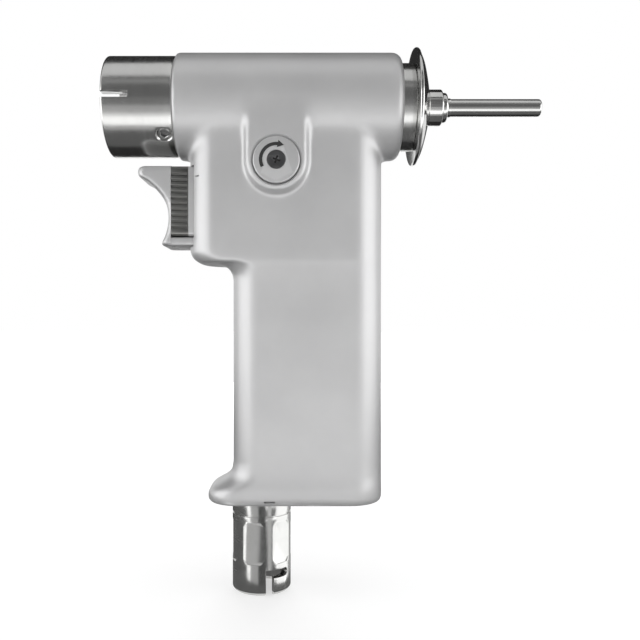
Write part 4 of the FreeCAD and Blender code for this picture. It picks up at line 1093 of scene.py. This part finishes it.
def button(name, face, side, node):
    """A cap whose face stands at the given y, on the side -1 near the camera or 1 behind."""
    inner = face - side * button_depth
    steps = [(inner, button_radius - 0.3), (inner + side * 0.3, button_radius)]
    steps += [(face - side * rim_round * (1 - math.sin(a)), button_radius - rim_round * (1 - math.cos(a)))
              for a in (0, 0.4, 0.8, 1.2, math.pi / 2)]
    cap = turn(name, "y", steps, button_axis)
    sink = [(face + side * 0.2, sink_radius + 0.15), (face, sink_radius), (face - side * 0.25, sink_radius),
            (face - side * 1.5, screw_hole), (inner - side * 0.2, screw_hole)]
    cut(cap, turn("sink_cut", "y", sink, button_axis, sides=64), *arrow_cutters(face))

    def in_arrow(p, f):
        """Faces sunk into the cap by the arrow cutters."""
        deep = side * (face - p.y)
        return 0.02 < deep <= mark_depth + 0.01 and 3.2 < math.hypot(p.x - pad_x, p.z - pad_z) < 6.0

    dress(cap, "reversing_button", [node], button_satin, ink_and_painted_shade, in_arrow)


button("button_near", near_face, -1, "forward_button")
button("button_far", far_face, 1, "reverse_button")

# %% [markdown]
# A countersunk screw with a cross recess holds each button. The head is turned with its cone, and two thin
# blocks crossed at an angle cut the recess, which narrows towards its floor. The recess is painted black with
# the ink finish, as painted shade.

# %% Button screws
cross_long, cross_thin, cross_depth, cross_taper = 1.55, 0.36, 0.9, 0.55


def button_screw(name, face, side):
    """One screw whose head lies just under the face of a button."""
    head = face - side * 0.05
    end = face - side * 13.5
    steps = [(end, 1.1), (end + side * 0.3, 1.25), (head - side * 1.4, 1.25), (head - side * 0.2, 2.65),
             (head - side * 0.08, 2.72), (head, 2.6)]
    screw = turn(name, "y", steps, button_axis, sides=64)
    for half_x, half_z in ((cross_long, cross_thin), (cross_thin, cross_long)):
        arm = block("cross_cut", (pad_x - half_x, head - cross_depth, pad_z - half_z),
                    (pad_x + half_x, head + cross_depth, pad_z + half_z))
        edit(arm)
        pick(arm, "FACE", lambda p, f: f.normal.y * side < -0.9)
        bpy.ops.transform.resize(value=(cross_taper, 1, cross_taper),
                                 center_override=Vector(button_axis) * mm)
        cut(screw, turn_piece(arm, "y", 20, button_axis))
    return screw


def in_cross(p, f):
    """Faces of a cross recess, on either side of the tool."""
    deep = (p.y - near_face, far_face - p.y)
    return any(0.1 < value < 1.2 for value in deep) and math.hypot(p.x - pad_x, p.z - pad_z) < 1.5


screws = merge("button_fasteners", [
    button_screw("screw_near", near_face, -1), button_screw("screw_far", far_face, 1),
])
soften(screws, 0.05)
# the cross recesses get the black ink as painted shade
dress(screws, "reversing_button", ["button_screws"], screw_steel, ink_and_painted_shade, in_cross)

# %% [markdown]
# ## Rear end
# A polished cap closes the barrel and ends in a neck. It is turned as one closed wall, with a groove for
# its seal and a bore through which the guard is bolted on.

# %% Rear cap
neck_radius, neck_end, cap_bore, bolt_bore = 13.2, 92.9, 8.6, 4.22
neck = turn("rear_neck", "x", [
    (79.4, cap_bore), (79.4, 13.0), (79.7, spigot_radius), (81.6, spigot_radius), (81.6, 11.9), (83.2, 11.9),
    (83.2, spigot_radius), (88.6, spigot_radius), (88.7, neck_radius), (92.6, neck_radius), (neck_end, 12.9),
    (neck_end, bolt_bore), (87.6, bolt_bore), (87.6, cap_bore),
], hollow=True, sides=160)
soften(neck, 0.1)
dress(neck, "housing", ["rear_cap"], polish_x)

# %% [markdown]
# A domed hand guard sits on the neck, then a hub with a stepped collar, and a straight tube that covers the
# end of a wire running through the tool. All are turned on the same axis, each as its own piece. The
# guard's rim is thin and fully rounded, and its dome is a smooth curve down to the hub.

# %% Guard, hub and tube
guard_bore, rim_radius, rim_edge, hub_start = 2.67, 17.2, 0.55, 97.6
tube_radius, tube_bore, tube_end = 2.65, 1.7, 132.7

dome = smooth_line([(94.1, 17.15), (95.2, 14.9), (96.2, 11.6), (97.0, 8.4), (hub_start, 5.5)], 4)
flange = turn("hand_guard", "x", [
    (84.2, guard_bore), (84.2, 4.0), (84.4, 4.2), (neck_end, 4.2), (neck_end, 17.15),
    *arc(93.45, rim_radius, rim_edge, 180, 90, 5)[1:], *arc(93.55, rim_radius, rim_edge, 90, 0, 5),
    *dome[1:], (hub_start, guard_bore),
], hollow=True, sides=160)
dress(flange, "housing", ["guard_flange"], bright_x)

hub = turn("guard_hub_turned", "x", [
    (hub_start, guard_bore), (hub_start, 5.3), (97.8, 5.5), (101.3, 5.5), *arc(101.4, 5.0, 0.5, 90, 0, 5),
    (101.9, 4.3), (102.1, 4.5), (102.7, 4.5), *arc(102.8, 3.8, 0.7, 90, 0, 5), (103.5, 3.0), (103.8, 2.85),
    (104.6, 2.85), (104.6, guard_bore),
], hollow=True, sides=96)
dress(hub, "housing", ["guard_hub"], bright_x)

wire_tube = turn("wire_tube", "x", [
    (80.4, tube_bore), (80.4, tube_radius), (105.0, tube_radius), (118.0, tube_radius),
    *arc(131.9, tube_radius - 0.8, 0.8, 90, 0, 6), (tube_end, tube_bore + 0.05), (tube_end - 0.1, tube_bore),
], hollow=True, sides=96)
dress(wire_tube, "housing", ["guard_tube"], bright_x)

# %% [markdown]
# ## Hose socket
# The bayonet socket under the grip has a fine ring groove, six milled wrench flats with chamfered corners,
# and two J-shaped slots that catch the pins of the hose. It is turned first. The flats are cut by a bar
# with chamfered corners that is turned on by 60 degrees for each cut.

# %% Turned socket and wrench flats
hose_radius, hose_bottom, hose_lip = 8.95, -148.3, 1.4
flat_low, flat_high, flat_distance = -139.0, -126.4, 8.27
flat_phase, flat_half_width, flat_chamfer = -13.0, 3.5, 1.5
groove_floor = 8.65

socket_body = turn("hose_socket", "z", [
    (-111.6, 4.0), (-111.6, 7.1), (-111.9, 7.4), (grip_bottom, 7.4), (grip_bottom, hose_radius - 0.2),
    (grip_bottom - 0.2, hose_radius), (-124.2, hose_radius), (-124.3, groove_floor), (-124.7, groove_floor),
    *[(place, hose_radius) for place in (-124.8, -126.0, -132.6, -139.2, -143.0)],
    *arc(hose_bottom + hose_lip, hose_radius - hose_lip, hose_lip, 90, 180),
    (hose_bottom, 7.2), (-147.9, 6.8), (-142.0, 6.8), (-136.0, 6.8),
    (-136.0, 6.0), (-130.0, 6.0), (-130.0, 4.0),
], grip_axis, hollow=True, sides=144)

for index in range(6):
    bar = block("flat_cut", (hose_x - flat_half_width, -12.0, flat_low),
                (hose_x + flat_half_width, -flat_distance, flat_high))
    edit(bar)
    pick(bar, "EDGE", lambda p, e: abs(e.verts[0].co.y - e.verts[1].co.y) > 2 * mm)
    bpy.ops.mesh.bevel(offset=flat_chamfer * mm, segments=1, affect="EDGES")
    cut(socket_body, turn_piece(bar, "z", flat_phase + 60 * index, grip_axis))
print("hose socket with flats, faces:", len(socket_body.data.polygons))

# %% [markdown]
# Each J-shaped slot is a straight saw cut from the mouth, a spun arc around the axis, and a round end where
# the pin comes to rest. Six small vents lead into the socket from above.

# %% Pin slots and vents
pin_width, pin_top, pin_angle, pin_turn = 2.5, -140.6, 19.0, 36.0
vent_radius, vent_circle = 0.7, 5.2


def pin_slot(degrees):
    """The three cutters of one J-shaped slot."""
    half = pin_width / 2
    entry = block("slot_entry", (hose_x - half, -12, hose_bottom - 1), (hose_x + half, -5.8, pin_top))
    put_down()
    bpy.ops.mesh.primitive_cube_add(size=1, location=(hose_x * mm, -8.9 * mm, (pin_top - half) * mm))
    bpy.context.object.scale = (0.02 * mm, 6.2 * mm, pin_width * mm)
    hook = name_new("slot_hook")
    edit(hook)
    pick(hook, "FACE", lambda p, f: f.normal.x > 0.9)
    bpy.ops.mesh.spin(steps=12, angle=-math.radians(pin_turn), center=(hose_x * mm, 0, 0), axis=(0, 0, 1))
    outside_out(hook)
    end = rod("slot_end", "y", -12, 6.2, half, (hose_x, 0, pin_top - half))
    turn_piece(end, "z", pin_turn, grip_axis)
    return [turn_piece(piece, "z", degrees, grip_axis) for piece in (entry, hook, end)]


for degrees in (pin_angle, pin_angle + 180):
    cut(socket_body, *pin_slot(degrees))
for index in range(6):
    a = math.radians(60 * index)
    vent_axis = (hose_x + vent_circle * math.cos(a), vent_circle * math.sin(a), 0)
    cut(socket_body, rod("vent_cut", "z", -131.0, 21.0, vent_radius, vent_axis, 16))
soften(socket_body, 0.1)
dress(socket_body, "housing", ["hose_coupling"], polish_z)

# %% [markdown]
# ## Springs
# The two coil springs behind the trigger get shorter when it is pulled. Each is a ring of wire that a Screw
# modifier winds up along the trigger's axis.


def coil_spring(name, node, wire, turns):
    """A coil with closed wire ends that fills the box of a CAD spring."""
    low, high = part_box(node)
    length = high[0] - low[0]
    wire_radius = wire / 2 * mm
    put_down()
    bpy.ops.mesh.primitive_circle_add(
        vertices=10, radius=wire_radius, rotation=(math.pi / 2, 0, 0),
        location=(low[0] + wire_radius, 0, (high[2] - low[2]) / 2 - wire_radius),
    )
    coil = name_new(name)
    apply_modifier(coil, "SCREW", axis="X", screw_offset=(length - wire * mm) / turns, iterations=turns,
                   steps=24, render_steps=24)
    edit(coil, "SELECT")
    bpy.ops.mesh.fill_holes(sides=12)
    bpy.ops.transform.translate(value=(0, 0, (high[2] + low[2]) / 2))
    outside_out(coil)
    dress(coil, "housing", [node], hard_steel)
    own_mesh(coil)


coil_spring("trigger_return_coil", "trigger_spring", 0.7, 7)
coil_spring("valve_return_coil", "valve_spring", 0.5, 4)

# %% [markdown]
# ## Inner parts
# The motor, the gears, the bearings and the valves are hidden in the closed tool and their CAD shapes are
# right, so they stay as they are. Each still gets a real finish, by the slot that the record gives it.

# %% Finishes of the inner parts
slot_finishes = {
    "satin_body": body_satin, "polished_steel": polish_x, "dark_steel": screw_steel, "hard_steel": hard_steel,
    "bronze": bronze, "seal_rubber": rubber, "vane_plastic": resin,
}
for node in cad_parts.values():
    slot = node.data.materials[0].name.split(".")[0]
    node.data.materials[0] = slot_finishes[slot]
print("inner parts finished:", len(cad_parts))
